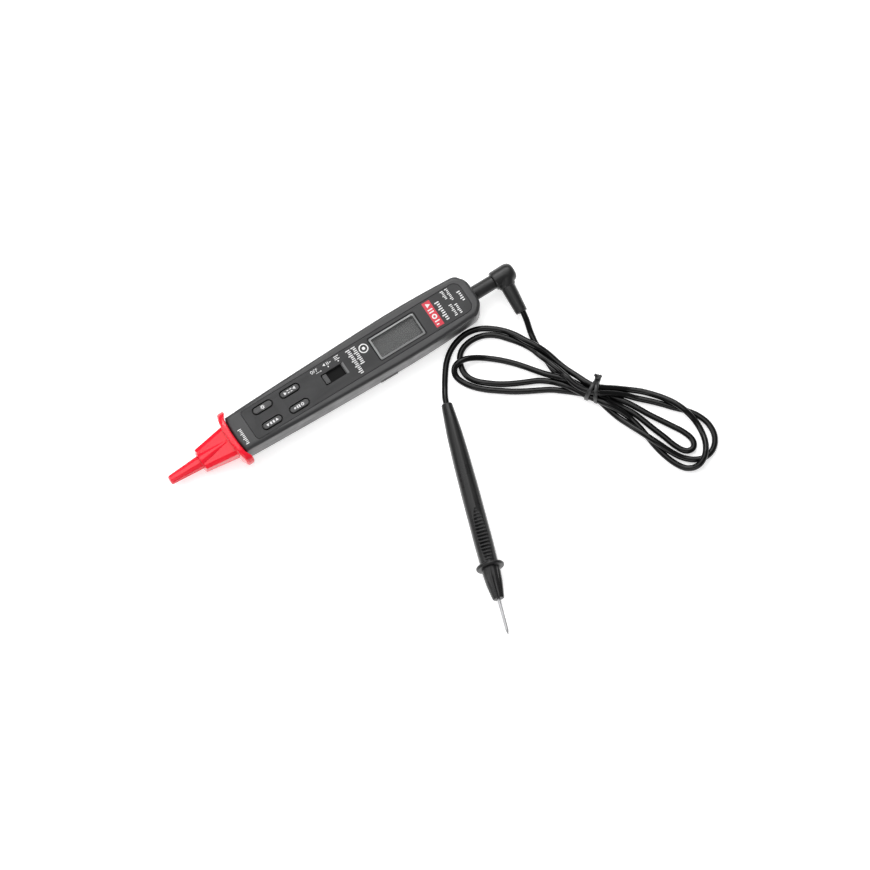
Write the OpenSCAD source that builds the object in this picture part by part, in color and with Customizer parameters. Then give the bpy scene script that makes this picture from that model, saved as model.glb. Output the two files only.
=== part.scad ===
// Pen-type digital multimeter lying on its back, with its test lead plugged in.
// Millimetres. +X runs from the probe tip to the tail, +Z is up out of the display,
// and the origin is under the middle of the meter, on the surface it lies on.

/* [Meter body] */
// Overall length of the meter, from the cap's end to the tail
meter_length = 210; // [190:1:240]
// Width of the case at its widest
case_w = 29.2; // [28:0.2:34]
// Width of the case behind the finger guard
case_nose_w = 23.4; // [22:0.2:26]
// Width of the case where the tail's round corners begin
case_tail_w = 26.4; // [25:0.2:28]
// Thickness of the case, back to face
case_t = 19; // [18.5:0.1:23]
// Height of the joint between the two case halves
split_z = 10; // [9:0.5:11]
// Wall thickness of the case
wall = 1.8; // [1.4:0.1:2]
// Radius of the tail's corners seen from above
tail_corner_r = 8.5; // [6:0.5:10]
// Radius along the face's edges
face_edge_r = 2.2; // [1.4:0.1:3]
// Radius along the back's edges
back_edge_r = 2.4; // [1.4:0.1:3]

/* [Face panel and window] */
// Gap from the case's front to the face panel
panel_front_margin = 10.5; // [9:0.1:14]
// Width of the inlaid face panel
panel_w = 20; // [19:0.2:21]
// Thickness of the face panel
panel_t = 0.6; // [0.4:0.1:0.8]
// Gap from the panel's tail end to the tail
panel_tail_margin = 5.6; // [5:0.2:8]
// Radius of the panel's corners at the front
panel_r = 2.4; // [1:0.2:4]
// Radius of the panel's corners at the tail
panel_tail_r = 4.6; // [3:0.2:8]
// Length of the window recess
window_l = 32.2; // [28:0.2:34]
// Width of the window recess
window_w = 16; // [13:0.2:16.6]
// How far the window recess narrows on each side
window_bevel = 1.6; // [1:0.1:2]
// Distance from the tail to the middle of the window
window_from_tail = 53.1; // [50:0.1:56]

/* [Keys and range knob] */
// Length of a key
key_l = 12.9; // [10:0.1:14]
// Width of a key
key_w = 4.5; // [3.6:0.1:5.4]
// Gap around a key
key_gap = 0.4; // [0.3:0.05:0.5]
// How far a key stands above the face
key_proud = 0.4; // [0.2:0.1:1]
// Travel of a key
key_travel = 0.5; // [0.3:0.05:0.5]
// Distance between the keys' rows along the meter
key_pitch_x = 18.6; // [16:0.1:22]
// Distance between the keys across the meter
key_pitch_y = 10.9; // [8:0.1:11.6]
// Distance from the case's front to the middle of the four keys
keys_from_front = 32.7; // [31:0.1:40]
// Length of the range knob's slot
slot_l = 13.7; // [12:0.1:16]
// Width of the range knob's slot
slot_w = 7.1; // [6:0.1:8]
// Length of the sloped lead-out at the slot's tail end
slot_ramp = 1.8; // [1:0.1:2.4]
// Size of the range knob along the meter
knob_l = 2.9; // [2:0.1:4]
// Distance between the knob's three positions
knob_step = 5; // [4:0.1:5]
// Distance from the tail to the middle of the slot
slot_from_tail = 96.9; // [94:0.1:99]

/* [Nose guard and probe pin] */
// Length of the tip cap that shows
cap_l = 21.3; // [16:0.1:26]
// Diameter of the tip cap at its rear
cap_rear_d = 8.4; // [7:0.1:9]
// Diameter of the tip cap at its end
cap_tip_d = 5.4; // [4.8:0.1:7]
// Depth of the cap's seat in the nose
cap_seat = 3; // [2:0.5:5]
// Diameter of the probe pin
pin_d = 2; // [1.5:0.1:2.4]
// Height of the pin above the surface
pin_z = 7; // [6.5:0.1:8]
// Length of the nose in front of the finger guard
nose_l = 18.9; // [15:0.1:25]
// Width of the nose at its front
nose_front_w = 13.4; // [12:0.2:15]
// Width of the nose at the guard
nose_rear_w = 18.8; // [16:0.2:20]
// Thickness of the finger guard
guard_t = 3.8; // [3:0.1:5]
// Width of the finger guard, wing to wing
guard_w = 36; // [32:0.5:42]
// How far the guard's wings sweep back
guard_sweep = 4; // [2:0.5:5]

/* [Batteries] */
// Diameter of a cell
cell_d = 10.4; // [10:0.1:10.5]
// Length of a cell with its nub
cell_l = 44.5; // [43:0.1:45]
// Thickness of the battery door
door_t = 1.6; // [1.2:0.1:1.7]
// Distance from the tail to the middle of the battery bay
bay_from_tail = 66.8; // [65:0.1:68]

/* [Jack and plug] */
// Height of the jack above the surface
jack_z = 11.5; // [11:0.1:12]
// Bore of the jack's brass barrel
jack_bore_d = 4.05; // [3.95:0.01:4.2]
// Diameter of the plug's sleeve
sleeve_d = 8.8; // [8:0.1:9]
// Length of the sleeve that shows behind the tail
sleeve_show = 13.8; // [8:0.1:18]
// How deep the sleeve goes into the jack
sleeve_in = 14; // [10:0.5:15]
// Diameter of the plug's elbow
elbow_d = 11.3; // [10:0.1:12.5]
// Length of the plug's elbow along the meter
elbow_l = 14; // [12:0.1:17]
// Length of the boot from the elbow's middle to its end
boot_l = 23; // [18:0.5:30]
// Angle that the boot droops by
boot_droop = 10; // [5:1:12]

/* [Lead] */
// Diameter of the lead
cord_d = 3.7; // [3:0.1:3.8]
// Height of the hank's solid
hank_h = 7.4; // [7:0.1:9]

/* [Probe on the lead] */
// Length of the probe's handle behind its ring
handle_l = 104; // [95:1:112]
// Greatest diameter of the handle
handle_d = 11.4; // [10:0.1:13]
// Diameter of the handle where the lead enters
handle_rear_d = 6.8; // [6:0.1:8]
// Diameter of the finger ring
ring_d = 16.8; // [15:0.1:20]
// Thickness of the finger ring
ring_t = 2.4; // [1.8:0.1:3.5]
// Length of the cone in front of the ring
cone_l = 20.3; // [16:0.1:25]
// Diameter of the needle
needle_d = 2; // [1.6:0.1:2.2]
// Length of the needle that shows
needle_l = 22.6; // [16:0.1:28]

/* [Hidden] */
$fn = 64;

// Clearances between fixed pieces, and between round pieces that fit
gap = 0.15;
fit = 0.05;
// Running clearance around pieces that move
run = 0.2;
eps = 0.01;

// Stations along the meter
tail_x = meter_length / 2;
tip_x = -tail_x;
nose_front_x = tip_x + cap_l;
guard_x = nose_front_x + nose_l;
case_front_x = guard_x + guard_t + gap;
widest_x = tail_x - 53;
tail_corner_x = tail_x - tail_corner_r;
panel_x1 = tail_x - panel_tail_margin;
panel_x0 = case_front_x + panel_front_margin;
window_x = tail_x - window_from_tail;
keys_x = case_front_x + keys_from_front;
slot_x = tail_x - slot_from_tail;
bay_x = tail_x - bay_from_tail;

// Heights inside the case
ceiling_z = case_t - wall;
pocket_z = case_t - panel_t;
cell_gap = 0.3;
cell_z = door_t + cell_gap + cell_d / 2;
board_t = 1.2;
board_z = cell_z + cell_d / 2 + cell_gap;
board_top = board_z + board_t;

// Half width of the case at a station, from the nose to the widest place and on to the tail
function half_w(x) =
  x < widest_x
    ? case_w / 2 - (case_w - case_nose_w) / 2
      * pow((widest_x - x) / (widest_x - case_front_x), 1.5)
    : case_w / 2 - (case_w - case_tail_w) / 2
      * pow((x - widest_x) / (tail_corner_x - widest_x), 2);

// Where the curve behind the guard lies at a distance from the middle line
function swept(y) = guard_sweep * pow(2 * y / guard_w, 2);

side_steps = 14;
corner_steps = 8;
front_steps = 8;
function side_x(i, inset) =
  let (start = case_front_x + swept(half_w(case_front_x)) + inset)
  start + (tail_corner_x - start) * i / side_steps;
function far_side(inset) = [
  for (i = [0 : side_steps]) [side_x(i, inset), half_w(side_x(i, inset)) - inset]
];
function tail_far(inset) = [
  for (i = [1 : corner_steps])
    [tail_corner_x + (tail_corner_r - inset) * sin(90 * i / corner_steps),
     case_tail_w / 2 - tail_corner_r + (tail_corner_r - inset) * cos(90 * i / corner_steps)]
];
function flipped(points) = [
  for (i = [len(points) - 1 : -1 : 0]) [points[i][0], -points[i][1]]
];
function front_edge(inset) =
  let (h = half_w(case_front_x) - inset)
  [
    for (i = [1 : front_steps - 1])
      let (y = -h + 2 * h * i / front_steps)
      [case_front_x + swept(y) + inset, y]
  ];
function case_outline(inset) =
  let (half = concat(far_side(inset), tail_far(inset)))
  concat(half, flipped(half), front_edge(inset));

// A closed solid through the case's outline at several heights, each with its own inset
arc_steps = 3;
module stacked(levels) {
  rings = [for (l = levels) case_outline(l[1])];
  n = len(rings[0]);
  points = [for (i = [0 : len(levels) - 1]) each [for (p = rings[i]) [p[0], p[1], levels[i][0]]]];
  sides = [
    for (i = [0 : len(levels) - 2], k = [0 : n - 1])
      let (a = i * n + k, b = i * n + (k + 1) % n)
      each [[a, b, b + n], [a, b + n, a + n]]
  ];
  bottom = [for (k = [n - 1 : -1 : 0]) k];
  top = [for (k = [0 : n - 1]) (len(levels) - 1) * n + k];
  polyhedron(points = points, faces = concat(sides, [bottom, top]));
}
module rounded_top(z0, z1, r) {
  stacked(concat([[z0, 0]], [
    for (i = [0 : arc_steps])
      [z1 - r + r * sin(90 * i / arc_steps), r * (1 - cos(90 * i / arc_steps))]
  ]));
}
module rounded_bottom(z0, z1, r) {
  stacked(concat([
    for (i = [arc_steps : -1 : 0])
      [z0 + r - r * sin(90 * i / arc_steps), r * (1 - cos(90 * i / arc_steps))]
  ], [[z1, 0]]));
}
module cavity(z0, z1) {
  translate([0, 0, z0]) linear_extrude(z1 - z0) polygon(case_outline(wall));
}

// Plates with rounded corners, from exact solids
module rounded_plate(l, w, r, h) {
  linear_extrude(h) union() {
    square([l - 2 * r, w], center = true);
    square([l, w - 2 * r], center = true);
    for (sx = [-1, 1], sy = [-1, 1])
      translate([sx * (l / 2 - r), sy * (w / 2 - r)]) circle(r);
  }
}
// The face panel's own outline, wider all round by a margin, from z upwards
module panel_plate(grow, z, h) {
  r0 = panel_r + grow;
  r1 = panel_tail_r + grow;
  x0 = panel_x0 - grow;
  x1 = panel_x1 + grow;
  w = panel_w + 2 * grow;
  translate([0, 0, z]) linear_extrude(h) union() {
    translate([x0 + r0, -w / 2]) square([x1 - r1 - x0 - r0, w]);
    translate([x0, r0 - w / 2]) square([r0 + eps, w - 2 * r0]);
    translate([x1 - r1 - eps, r1 - w / 2]) square([r1 + eps, w - 2 * r1]);
    for (s = [-1, 1]) {
      translate([x0 + r0, s * (w / 2 - r0)]) circle(r0);
      translate([x1 - r1, s * (w / 2 - r1)]) circle(r1);
    }
  }
}
module slot_ramp_cut() {
  ramp_w = slot_w + 0.5;
  ramp_h = 1;
  translate([slot_x + slot_l / 2 - eps, ramp_w / 2, case_t]) rotate([90, 0, 0])
    linear_extrude(ramp_w) polygon([[0, -ramp_h], [slot_ramp, 0], [slot_ramp, 1], [0, 1]]);
}
module stadium(l, w, h) {
  linear_extrude(h) union() {
    square([l - w, w], center = true);
    for (s = [-1, 1])
      translate([s * (l - w) / 2, 0]) circle(d = w);
  }
}
module block(x0, x1, y0, y1, z0, z1) {
  translate([x0, y0, z0]) cube([x1 - x0, y1 - y0, z1 - z0]);
}
module along_x(x0, x1, d, z) {
  translate([x0, 0, z]) rotate([0, 90, 0]) cylinder(d = d, h = x1 - x0);
}

// Places of the keys, the screws and the board's posts
key_places = [
  [keys_x - key_pitch_x / 2, key_pitch_y / 2], [keys_x + key_pitch_x / 2, key_pitch_y / 2],
  [keys_x - key_pitch_x / 2, -key_pitch_y / 2], [keys_x + key_pitch_x / 2, -key_pitch_y / 2]
];
screw_boss_d = 5;
screw_well_d = 4.8;
screw_d = 2;
screw_head_d = 4.4;
screw_head_h = 1.6;
screw_seat_z = 5;
spigot_l = 8;
nose_screw_x = case_front_x + spigot_l + 3.2;
tail_screw_x = tail_x - 17;
nose_screw_y = half_w(nose_screw_x) - wall - screw_boss_d / 2 - 0.3;
tail_screw_y = 9;
screw_places = [
  [nose_screw_x, nose_screw_y], [nose_screw_x, -nose_screw_y],
  [tail_screw_x, tail_screw_y], [tail_screw_x, -tail_screw_y]
];
post_d = 3;
board_x0 = nose_screw_x + screw_boss_d / 2 + 1;
board_x1 = tail_screw_x - screw_boss_d / 2 - 2;
post_places = [
  [board_x0 + 4, half_w(board_x0) - wall - 3], [board_x0 + 4, -half_w(board_x0) + wall + 3],
  [slot_x - 4, 9.4], [slot_x - 4, -9.4],
  [board_x1 - 5, 9.4], [board_x1 - 5, -9.4]
];

// The guard's spigot, which both case halves close around
spigot_w = 17;
spigot_z0 = 3.4;
spigot_z1 = 15.4;
spigot_lead_in = guard_sweep + 1;
module spigot_space(grow) {
  block(case_front_x - 2, case_front_x + spigot_l + grow,
        -spigot_w / 2 - grow, spigot_w / 2 + grow, spigot_z0 - grow, spigot_z1 + grow);
}

// The jack's place
insulator_bore_d = sleeve_d + 0.5;
insulator_d = insulator_bore_d + 1.7;
insulator_l = 16;
insulator_wall = 3;
insulator_x1 = tail_x - wall - 0.3;
insulator_x0 = insulator_x1 - insulator_l;
tail_hole_d = sleeve_d + 0.6;
cradle_w = 1.4;
cradle_places = [insulator_x0 + 2, insulator_x1 - 4];

// The battery bay
bay_l = cell_l + 3.5;
bay_x0 = bay_x - bay_l / 2;
bay_x1 = bay_x + bay_l / 2;
bay_wall = 1.2;
cell_y = cell_d / 2 + 0.2;
door_w = 2 * cell_d + 1.6;
door_screw_x = bay_x0 - bay_wall - 2.6;
door_x0 = door_screw_x - 3.2;
door_x1 = bay_x1 - 0.6;
door_r = 1.5;
door_boss_h = 6;
tab_w = 8;
tab_l = 1.6;
tab_t = 0.55;
ledge_w = 1.2;
ledge_h = 0.9;
ledge_gap = 0.05;
notch_l = 11;
notch_h = 1.3;
notch_in = 2.6;
plate_t = 0.3;

module rear_case() {
  color([0.27, 0.27, 0.28]) difference() {
    union() {
      difference() {
        rounded_bottom(0, split_z, back_edge_r);
        cavity(wall, split_z + 1);
      }
      for (p = screw_places)
        intersection() {
          translate([p[0], p[1], wall / 2]) cylinder(d = screw_boss_d + 1.2, h = split_z - wall / 2);
          cavity(0, split_z);
        }
      for (p = post_places)
        translate([p[0], p[1], wall / 2]) cylinder(d = post_d, h = board_z - wall / 2 - gap / 3);
      for (x = [bay_x0 - bay_wall, bay_x1])
        block(x, x + bay_wall, -half_w(x) + wall / 2, half_w(x) - wall / 2, wall / 2, split_z - 1);
      for (x = cradle_places)
        block(x, x + cradle_w, -tail_screw_y + 2, tail_screw_y - 2, wall / 2, split_z - 1);
      for (s = [-1, 1])
        translate([0, s * (door_w / 2 + 0.2), 0])
          block(door_x0 + 3, door_x1 - 3, -ledge_w, ledge_w, door_t + ledge_gap, door_t + ledge_h);
      translate([door_screw_x, 0, door_t + ledge_gap]) cylinder(d = 6, h = door_boss_h);
      block(door_x0 - 1.5, door_screw_x, -2, 2, door_t + ledge_gap, door_t + ledge_gap + 1.2);
      block(door_screw_x, bay_x0 - bay_wall + 0.4, -2, 2, door_t + ledge_gap, door_boss_h);
    }
    for (p = screw_places) {
      translate([p[0], p[1], -1]) cylinder(d = screw_well_d, h = screw_seat_z + 1);
      translate([p[0], p[1], 0]) cylinder(d = screw_d + 0.4, h = split_z + 1);
    }
    spigot_space(gap);
    along_x(tail_x - tail_corner_r, tail_x + 2, tail_hole_d, jack_z);
    along_x(insulator_x0 - gap, insulator_x1 + gap, insulator_d + 2 * fit, jack_z);
    translate([(door_x0 + door_x1) / 2, 0, -1])
      rounded_plate(door_x1 - door_x0 + 2 * gap, door_w + 2 * gap, door_r, door_t + 1 + ledge_gap);
    block(door_x1 - 1, door_x1 + tab_l + gap, -tab_w / 2 - gap, tab_w / 2 + gap,
          door_t - tab_t - gap, door_t + ledge_gap);
    translate([door_screw_x, 0, 0]) cylinder(d = screw_d + 0.1, h = door_t + door_boss_h - 1);
    block(bay_x - notch_l / 2, bay_x + notch_l / 2,
          -case_w, -half_w(bay_x) + notch_in, -1, notch_h);
  }
}

module front_case() {
  color([0.27, 0.27, 0.28]) difference() {
    union() {
      difference() {
        rounded_top(split_z, case_t, face_edge_r);
        cavity(split_z - 1, ceiling_z);
      }
      for (p = screw_places)
        translate([p[0], p[1], split_z]) cylinder(d = screw_boss_d, h = ceiling_z - split_z + 0.4);
    }
    panel_plate(gap, pocket_z, 2);
    slot_ramp_cut();
    hull() {
      translate([window_x, 0, pocket_z + eps])
        rounded_plate(window_l, window_w, window_r, 1);
      translate([window_x, 0, ceiling_z - 0.5])
        rounded_plate(glass_l, glass_w, window_r / 2, eps);
    }
    for (p = key_places)
      translate([p[0], p[1], ceiling_z - 1]) stadium(key_l + 2 * key_gap, key_w + 2 * key_gap, 4);
    translate([slot_x, 0, ceiling_z - 1]) rounded_plate(slot_l, slot_w, 0.6, 4);
    spigot_space(gap);
    along_x(tail_x - tail_corner_r, tail_x + 2, tail_hole_d, jack_z);
    along_x(insulator_x0 - gap, insulator_x1 + gap, insulator_d + 2 * fit, jack_z);
    for (p = screw_places)
      translate([p[0], p[1], split_z - 1]) cylinder(d = screw_d + 0.1, h = ceiling_z - split_z - 0.5);
  }
}

window_r = 1.2;
glass_l = window_l - 2 * window_bevel;
glass_w = window_w - 2 * window_bevel;
module face_panel() {
  color([0.3, 0.3, 0.31]) difference() {
    panel_plate(0, pocket_z + eps, panel_t - eps);
    slot_ramp_cut();
    translate([window_x, 0, pocket_z - 1]) rounded_plate(window_l, window_w, window_r, 3);
    for (p = key_places)
      translate([p[0], p[1], pocket_z - 1]) stadium(key_l + 2 * key_gap, key_w + 2 * key_gap, 3);
    translate([slot_x, 0, pocket_z - 1]) rounded_plate(slot_l, slot_w, 0.6, 3);
  }
}

// Display stack, from the window down to the board
lens_t = 1.1;
lens_l = window_l + 1;
lens_w = window_w + 1.2;
lens_z = ceiling_z - fit - lens_t;
holder_l = window_l + 2.4;
holder_w = window_w + 2.4;
holder_z1 = lens_z - fit;
glass_t = 1;
glass_z = holder_z1 - glass_t - 0.1;
strip_l = window_l - 4;
strip_w = 1.5;
strip_y = window_w / 2 - 1;
module display_window() {
  color([0.45, 0.47, 0.47, 0.6])
    translate([window_x, 0, lens_z]) rounded_plate(lens_l, lens_w, 1, lens_t);
}
module lcd_glass() {
  color([0.5, 0.53, 0.5])
    translate([window_x, 0, glass_z]) rounded_plate(window_l, window_w, 0.4, glass_t);
}
module lcd_holder() {
  color([0.15, 0.15, 0.15]) difference() {
    translate([window_x, 0, board_top]) rounded_plate(holder_l, holder_w, 1, holder_z1 - board_top);
    translate([window_x, 0, glass_z - fit]) rounded_plate(window_l + 0.2, window_w + 0.2, 0.4, 5);
    for (s = [-1, 1])
      translate([window_x, s * strip_y, board_top - 1])
        rounded_plate(strip_l + 0.3, strip_w + 0.3, 0.2, 9);
  }
}
module contact_strips() {
  color([0.85, 0.75, 0.7])
    for (s = [-1, 1])
      translate([window_x, s * strip_y, board_top])
        rounded_plate(strip_l, strip_w, 0.2, glass_z - board_top);
}

module main_board() {
  color([0.1, 0.35, 0.2]) intersection() {
    translate([0, 0, board_z]) linear_extrude(board_t) polygon(case_outline(wall + 0.5));
    block(board_x0, board_x1, -case_w, case_w, 0, case_t);
  }
}
chip_s = 9;
chip_t = 1.3;
pin_pitch = 1;
module meter_chip() {
  color([0.08, 0.08, 0.08]) {
    chip_x = (slot_x + slot_l / 2 + window_x - window_l / 2) / 2 + 1.4;
    block(chip_x - chip_s / 2, chip_x + chip_s / 2, -chip_s / 2, chip_s / 2,
          board_top, board_top + chip_t);
    for (i = [-3 : 3], s = [-1, 1])
      translate([chip_x + i * pin_pitch, s * chip_s / 2, board_top + 0.2])
        cube([0.4, 2, 0.4], center = true);
  }
}
// Input resistor, fuse disc and capacitors under the board, by the nose end
module board_parts() {
  part_x = board_x0 + 12;
  color([0.75, 0.6, 0.4]) {
    translate([part_x, -5, board_z - 1.3]) rotate([0, 90, 0]) cylinder(d = 2.6, h = 8);
    translate([part_x + 12, 4, board_z - 6]) cylinder(d = 5, h = 6);
    translate([part_x + 1, 4, board_z - 3.4]) rotate([90, 0, 0]) cylinder(d = 6.8, h = 2.2);
    block(part_x + 14.5, part_x + 17.5, -8, -6, board_z - 1.2, board_z);
    block(part_x + 14.5, part_x + 17.5, -4, -2, board_z - 1.2, board_z);
  }
}
switch_body = 4.6;
nub_d = 2;
nub_z = board_top + 1.2;
module tact_switches() {
  color([0.6, 0.6, 0.62])
    for (p = key_places) {
      translate([p[0], p[1], board_top + 0.4]) cube([switch_body, switch_body, 0.8], center = true);
      translate([p[0], p[1], board_top + 0.5]) cylinder(d = nub_d, h = nub_z - board_top - 0.5);
    }
}
buzzer_d = 12;
buzzer_h = 4;
module buzzer() {
  color([0.12, 0.12, 0.12])
    translate([slot_x - 18, 0, board_z - buzzer_h]) difference() {
      cylinder(d = buzzer_d, h = buzzer_h);
      translate([0, 0, -1]) cylinder(d = 2, h = 2.5);
    }
}

// Range switch: rails on the board, and a knob whose carrier slides between them.
// A thin shutter on the carrier keeps the slot closed at each position.
carrier_l = 11;
shutter_l = slot_l + 2 * knob_step + 0.9;
shutter_w = slot_w + 1;
shutter_t = 0.4;
carrier_w = 9;
carrier_t = 0.8;
carrier_z = ceiling_z - run - carrier_t;
rail_t = 0.9;
knob_travel = 2 * knob_step;
knob_x0 = slot_x - knob_step;
module switch_base() {
  rail_l = carrier_l + knob_travel + 2.4;
  color([0.12, 0.12, 0.13]) {
    for (s = [-1, 1])
      translate([slot_x - rail_l / 2, s * (carrier_w / 2 + run + rail_t / 2) - rail_t / 2, board_top])
        cube([rail_l, rail_t, ceiling_z - board_top - gap]);
    for (s = [-1, 1])
      translate([slot_x + s * (rail_l / 2 - 0.4) - 0.4, -carrier_w / 2 - run - rail_t / 2, board_top])
        cube([0.8, carrier_w + 2 * run + rail_t, 0.5]);
  }
}
module range_knob() {
  knob_w = slot_w - 1.1;
  color([0.36, 0.36, 0.37]) {
    translate([knob_x0, 0, carrier_z + carrier_t / 2])
      cube([carrier_l, carrier_w, carrier_t], center = true);
    translate([knob_x0, 0, carrier_z + carrier_t - shutter_t])
      rounded_plate(shutter_l, shutter_w, 0.4, shutter_t);
    translate([knob_x0, 0, carrier_z + carrier_t - eps])
      rounded_plate(knob_l, knob_w, 0.5, case_t + 0.2 - carrier_z - carrier_t);
  }
}
module knob_wipers() {
  color([0.8, 0.65, 0.3])
    for (s = [-1, 1])
      translate([knob_x0, s * 2.4, 0])
        block(-4, 4, -0.6, 0.6, board_top + run, carrier_z);
}

module one_key(i) {
  flange_over = 0.9;
  flange_t = 0.8;
  plunger_z = nub_z + key_travel + 0.1;
  p = key_places[i];
  color([0.33, 0.33, 0.34]) translate([p[0], p[1], 0]) {
    translate([0, 0, ceiling_z - 0.1 - flange_t])
      stadium(key_l + 2 * flange_over, key_w + 2 * flange_over, flange_t);
    translate([0, 0, ceiling_z - 0.2])
      stadium(key_l, key_w, case_t + key_proud - ceiling_z + 0.2);
    translate([0, 0, plunger_z]) cylinder(d = 3, h = ceiling_z - flange_t - plunger_z);
  }
}
module key_1() { one_key(0); }
module key_2() { one_key(1); }
module key_3() { one_key(2); }
module key_4() { one_key(3); }

// A cell from its flat end, running along +X, with its nub at the far end
nub_l = 0.9;
module cell_shape() {
  rotate([0, 90, 0]) rotate_extrude() polygon([
    [0, 0], [cell_d / 2 - 0.5, 0], [cell_d / 2, 0.5], [cell_d / 2, cell_l - nub_l - 0.5],
    [cell_d / 2 - 0.5, cell_l - nub_l], [1.9, cell_l - nub_l], [1.9, cell_l], [0, cell_l]
  ]);
}
cell_end_gap = 0.15;
module cell_1() {
  color([0.5, 0.5, 0.55])
    translate([bay_x0 + plate_t + cell_end_gap + cell_l, cell_y, cell_z])
      mirror([1, 0, 0]) cell_shape();
}
module cell_2() {
  color([0.5, 0.5, 0.55])
    translate([bay_x1 - plate_t - cell_end_gap - cell_l, -cell_y, cell_z]) cell_shape();
}
spring_l = bay_l - cell_l - 2 * plate_t - 2 * cell_end_gap - 0.1;
spring_wire = 0.7;
spring_turns = 2.5;
function spring_line() = [
  for (i = [0 : 30])
    let (k = i / 30, r = 4 - 1.8 * k, a = 360 * spring_turns * k)
    [r * cos(a), r * sin(a), spring_wire / 2 + (spring_l - spring_wire) * k]
];
module spring_shape() {
  rotate([0, 90, 0]) tube(spring_line(), spring_wire, 6);
}
module battery_springs() {
  color([0.8, 0.8, 0.82]) {
    translate([bay_x0 + plate_t + 0.05, -cell_y, cell_z]) spring_shape();
    translate([bay_x1 - plate_t - 0.05, cell_y, cell_z]) mirror([1, 0, 0]) spring_shape();
  }
}
module battery_plates() {
  plate_h = cell_d - 2.6;
  color([0.8, 0.8, 0.82]) {
    for (s = [-1, 1])
      block(bay_x0 + 0.02, bay_x0 + plate_t, s * cell_y - 4, s * cell_y + 4,
            door_t + ledge_h + 0.4, door_t + plate_h);
    block(bay_x1 - plate_t, bay_x1 - 0.02, -cell_y - 4, cell_y + 4,
          door_t + ledge_h + 0.4, door_t + plate_h);
  }
}
module battery_door() {
  color([0.25, 0.25, 0.26]) difference() {
    union() {
      translate([(door_x0 + door_x1) / 2, 0, 0])
        rounded_plate(door_x1 - door_x0, door_w, door_r - gap, door_t);
      block(door_x1 - 1, door_x1 + tab_l, -tab_w / 2, tab_w / 2, door_t - tab_t, door_t);
    }
    translate([door_screw_x, 0, -1]) cylinder(d = screw_d + 0.4, h = 4);
    translate([door_screw_x, 0, -1]) cylinder(d = screw_head_d + 0.4, h = 1.9);
    for (i = [0 : 3])
      translate([door_x0 + 9 + 1.8 * i, 0, 0]) cube([0.8, 12, 0.8], center = true);
  }
}
module screw_shape(head_z, length) {
  translate([0, 0, head_z]) difference() {
    union() {
      cylinder(d = screw_head_d, h = screw_head_h);
      cylinder(d = screw_d, h = length);
    }
    for (a = [0, 90])
      rotate(a) cube([2.4, 0.6, 1.4], center = true);
  }
}
module door_screw() {
  head_h = 0.7;
  color([0.6, 0.6, 0.62]) translate([door_screw_x, 0, 0.85 - head_h]) difference() {
    union() {
      cylinder(d = screw_head_d, h = head_h);
      cylinder(d = screw_d, h = door_boss_h);
    }
    for (a = [0, 90])
      rotate(a) cube([2.4, 0.6, 0.8], center = true);
  }
}
module case_screws() {
  color([0.6, 0.6, 0.62])
    for (p = screw_places)
      translate([p[0], p[1], 0]) screw_shape(screw_seat_z - screw_head_h - 0.02, 11);
}

// Nose guard: a curved finger flange, a tapering nose in front of it and a spigot behind
guard_z = case_t / 2 + 0.8;
guard_h = 2 * guard_z;
nose_front_top = 13;
nose_front_bottom = pin_z - cap_rear_d / 2 - run - 1.2;
nose_rear_top = 17.4;
nose_rear_bottom = 1.4;
ridge_d = 10.4;
pin_collar_d = 4;
curve_steps = 24;
function guard_curve(x0, step) = [
  for (i = [0 : curve_steps])
    let (y = step * (guard_w / 2 - guard_w * i / curve_steps))
    [x0 + swept(y), y]
];
module nose_slice(x, w, z0, z1, r) {
  for (s = [-1, 1], z = [z0 + r / 2, z1 - r])
    translate([x, s * (w / 2 - (z < (z0 + z1) / 2 ? r / 2 : r)), z])
      rotate([0, 90, 0]) cylinder(r = z < (z0 + z1) / 2 ? r / 2 : r, h = 0.4, $fn = 32);
}
module nose_guard() {
  color([0.9, 0.1, 0.12]) difference() {
    union() {
      intersection() {
        linear_extrude(guard_h)
          polygon(concat(guard_curve(guard_x, 1), guard_curve(guard_x + guard_t, -1)));
        translate([guard_x - 5, 0, guard_z]) rotate([90, 0, 90])
          linear_extrude(20) polygon([
            for (a = [0 : 5 : 355])
              [guard_w / 2 * cos(a), guard_z * sign(sin(a)) * pow(abs(sin(a)), 0.8)]
          ]);
      }
      hull() {
        nose_slice(nose_front_x, nose_front_w, nose_front_bottom, nose_front_top, 3);
        nose_slice(guard_x + 1, nose_rear_w, nose_rear_bottom, nose_rear_top, 4);
      }
      hull() {
        translate([nose_front_x, 0, pin_z + 2]) rotate([0, 90, 0])
          cylinder(d = ridge_d, h = 0.4, $fn = 32);
        translate([guard_x - 1.6, 0, nose_rear_top - 4.8]) rotate([0, 90, 0])
          cylinder(d = 9.2, h = 0.4, $fn = 32);
      }
      block(guard_x + 1, case_front_x + spigot_l, -spigot_w / 2, spigot_w / 2, spigot_z0, spigot_z1);
    }
    along_x(nose_front_x - 1, nose_front_x + cap_seat + run, cap_rear_d + 2 * run, pin_z);
    along_x(nose_front_x - 1, nose_front_x + cap_seat + 3, pin_d + 0.2, pin_z);
    along_x(nose_front_x + cap_seat + 1.5, case_front_x + spigot_l + 1, pin_collar_d + 2 * fit, pin_z);
    block(guard_x + guard_t + 2, case_front_x + spigot_l + 1, -spigot_w / 2 + 2, spigot_w / 2 - 2,
          spigot_z0 + 2, spigot_z1 - 2);
  }
}
cap_wall = 1.3;
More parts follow.
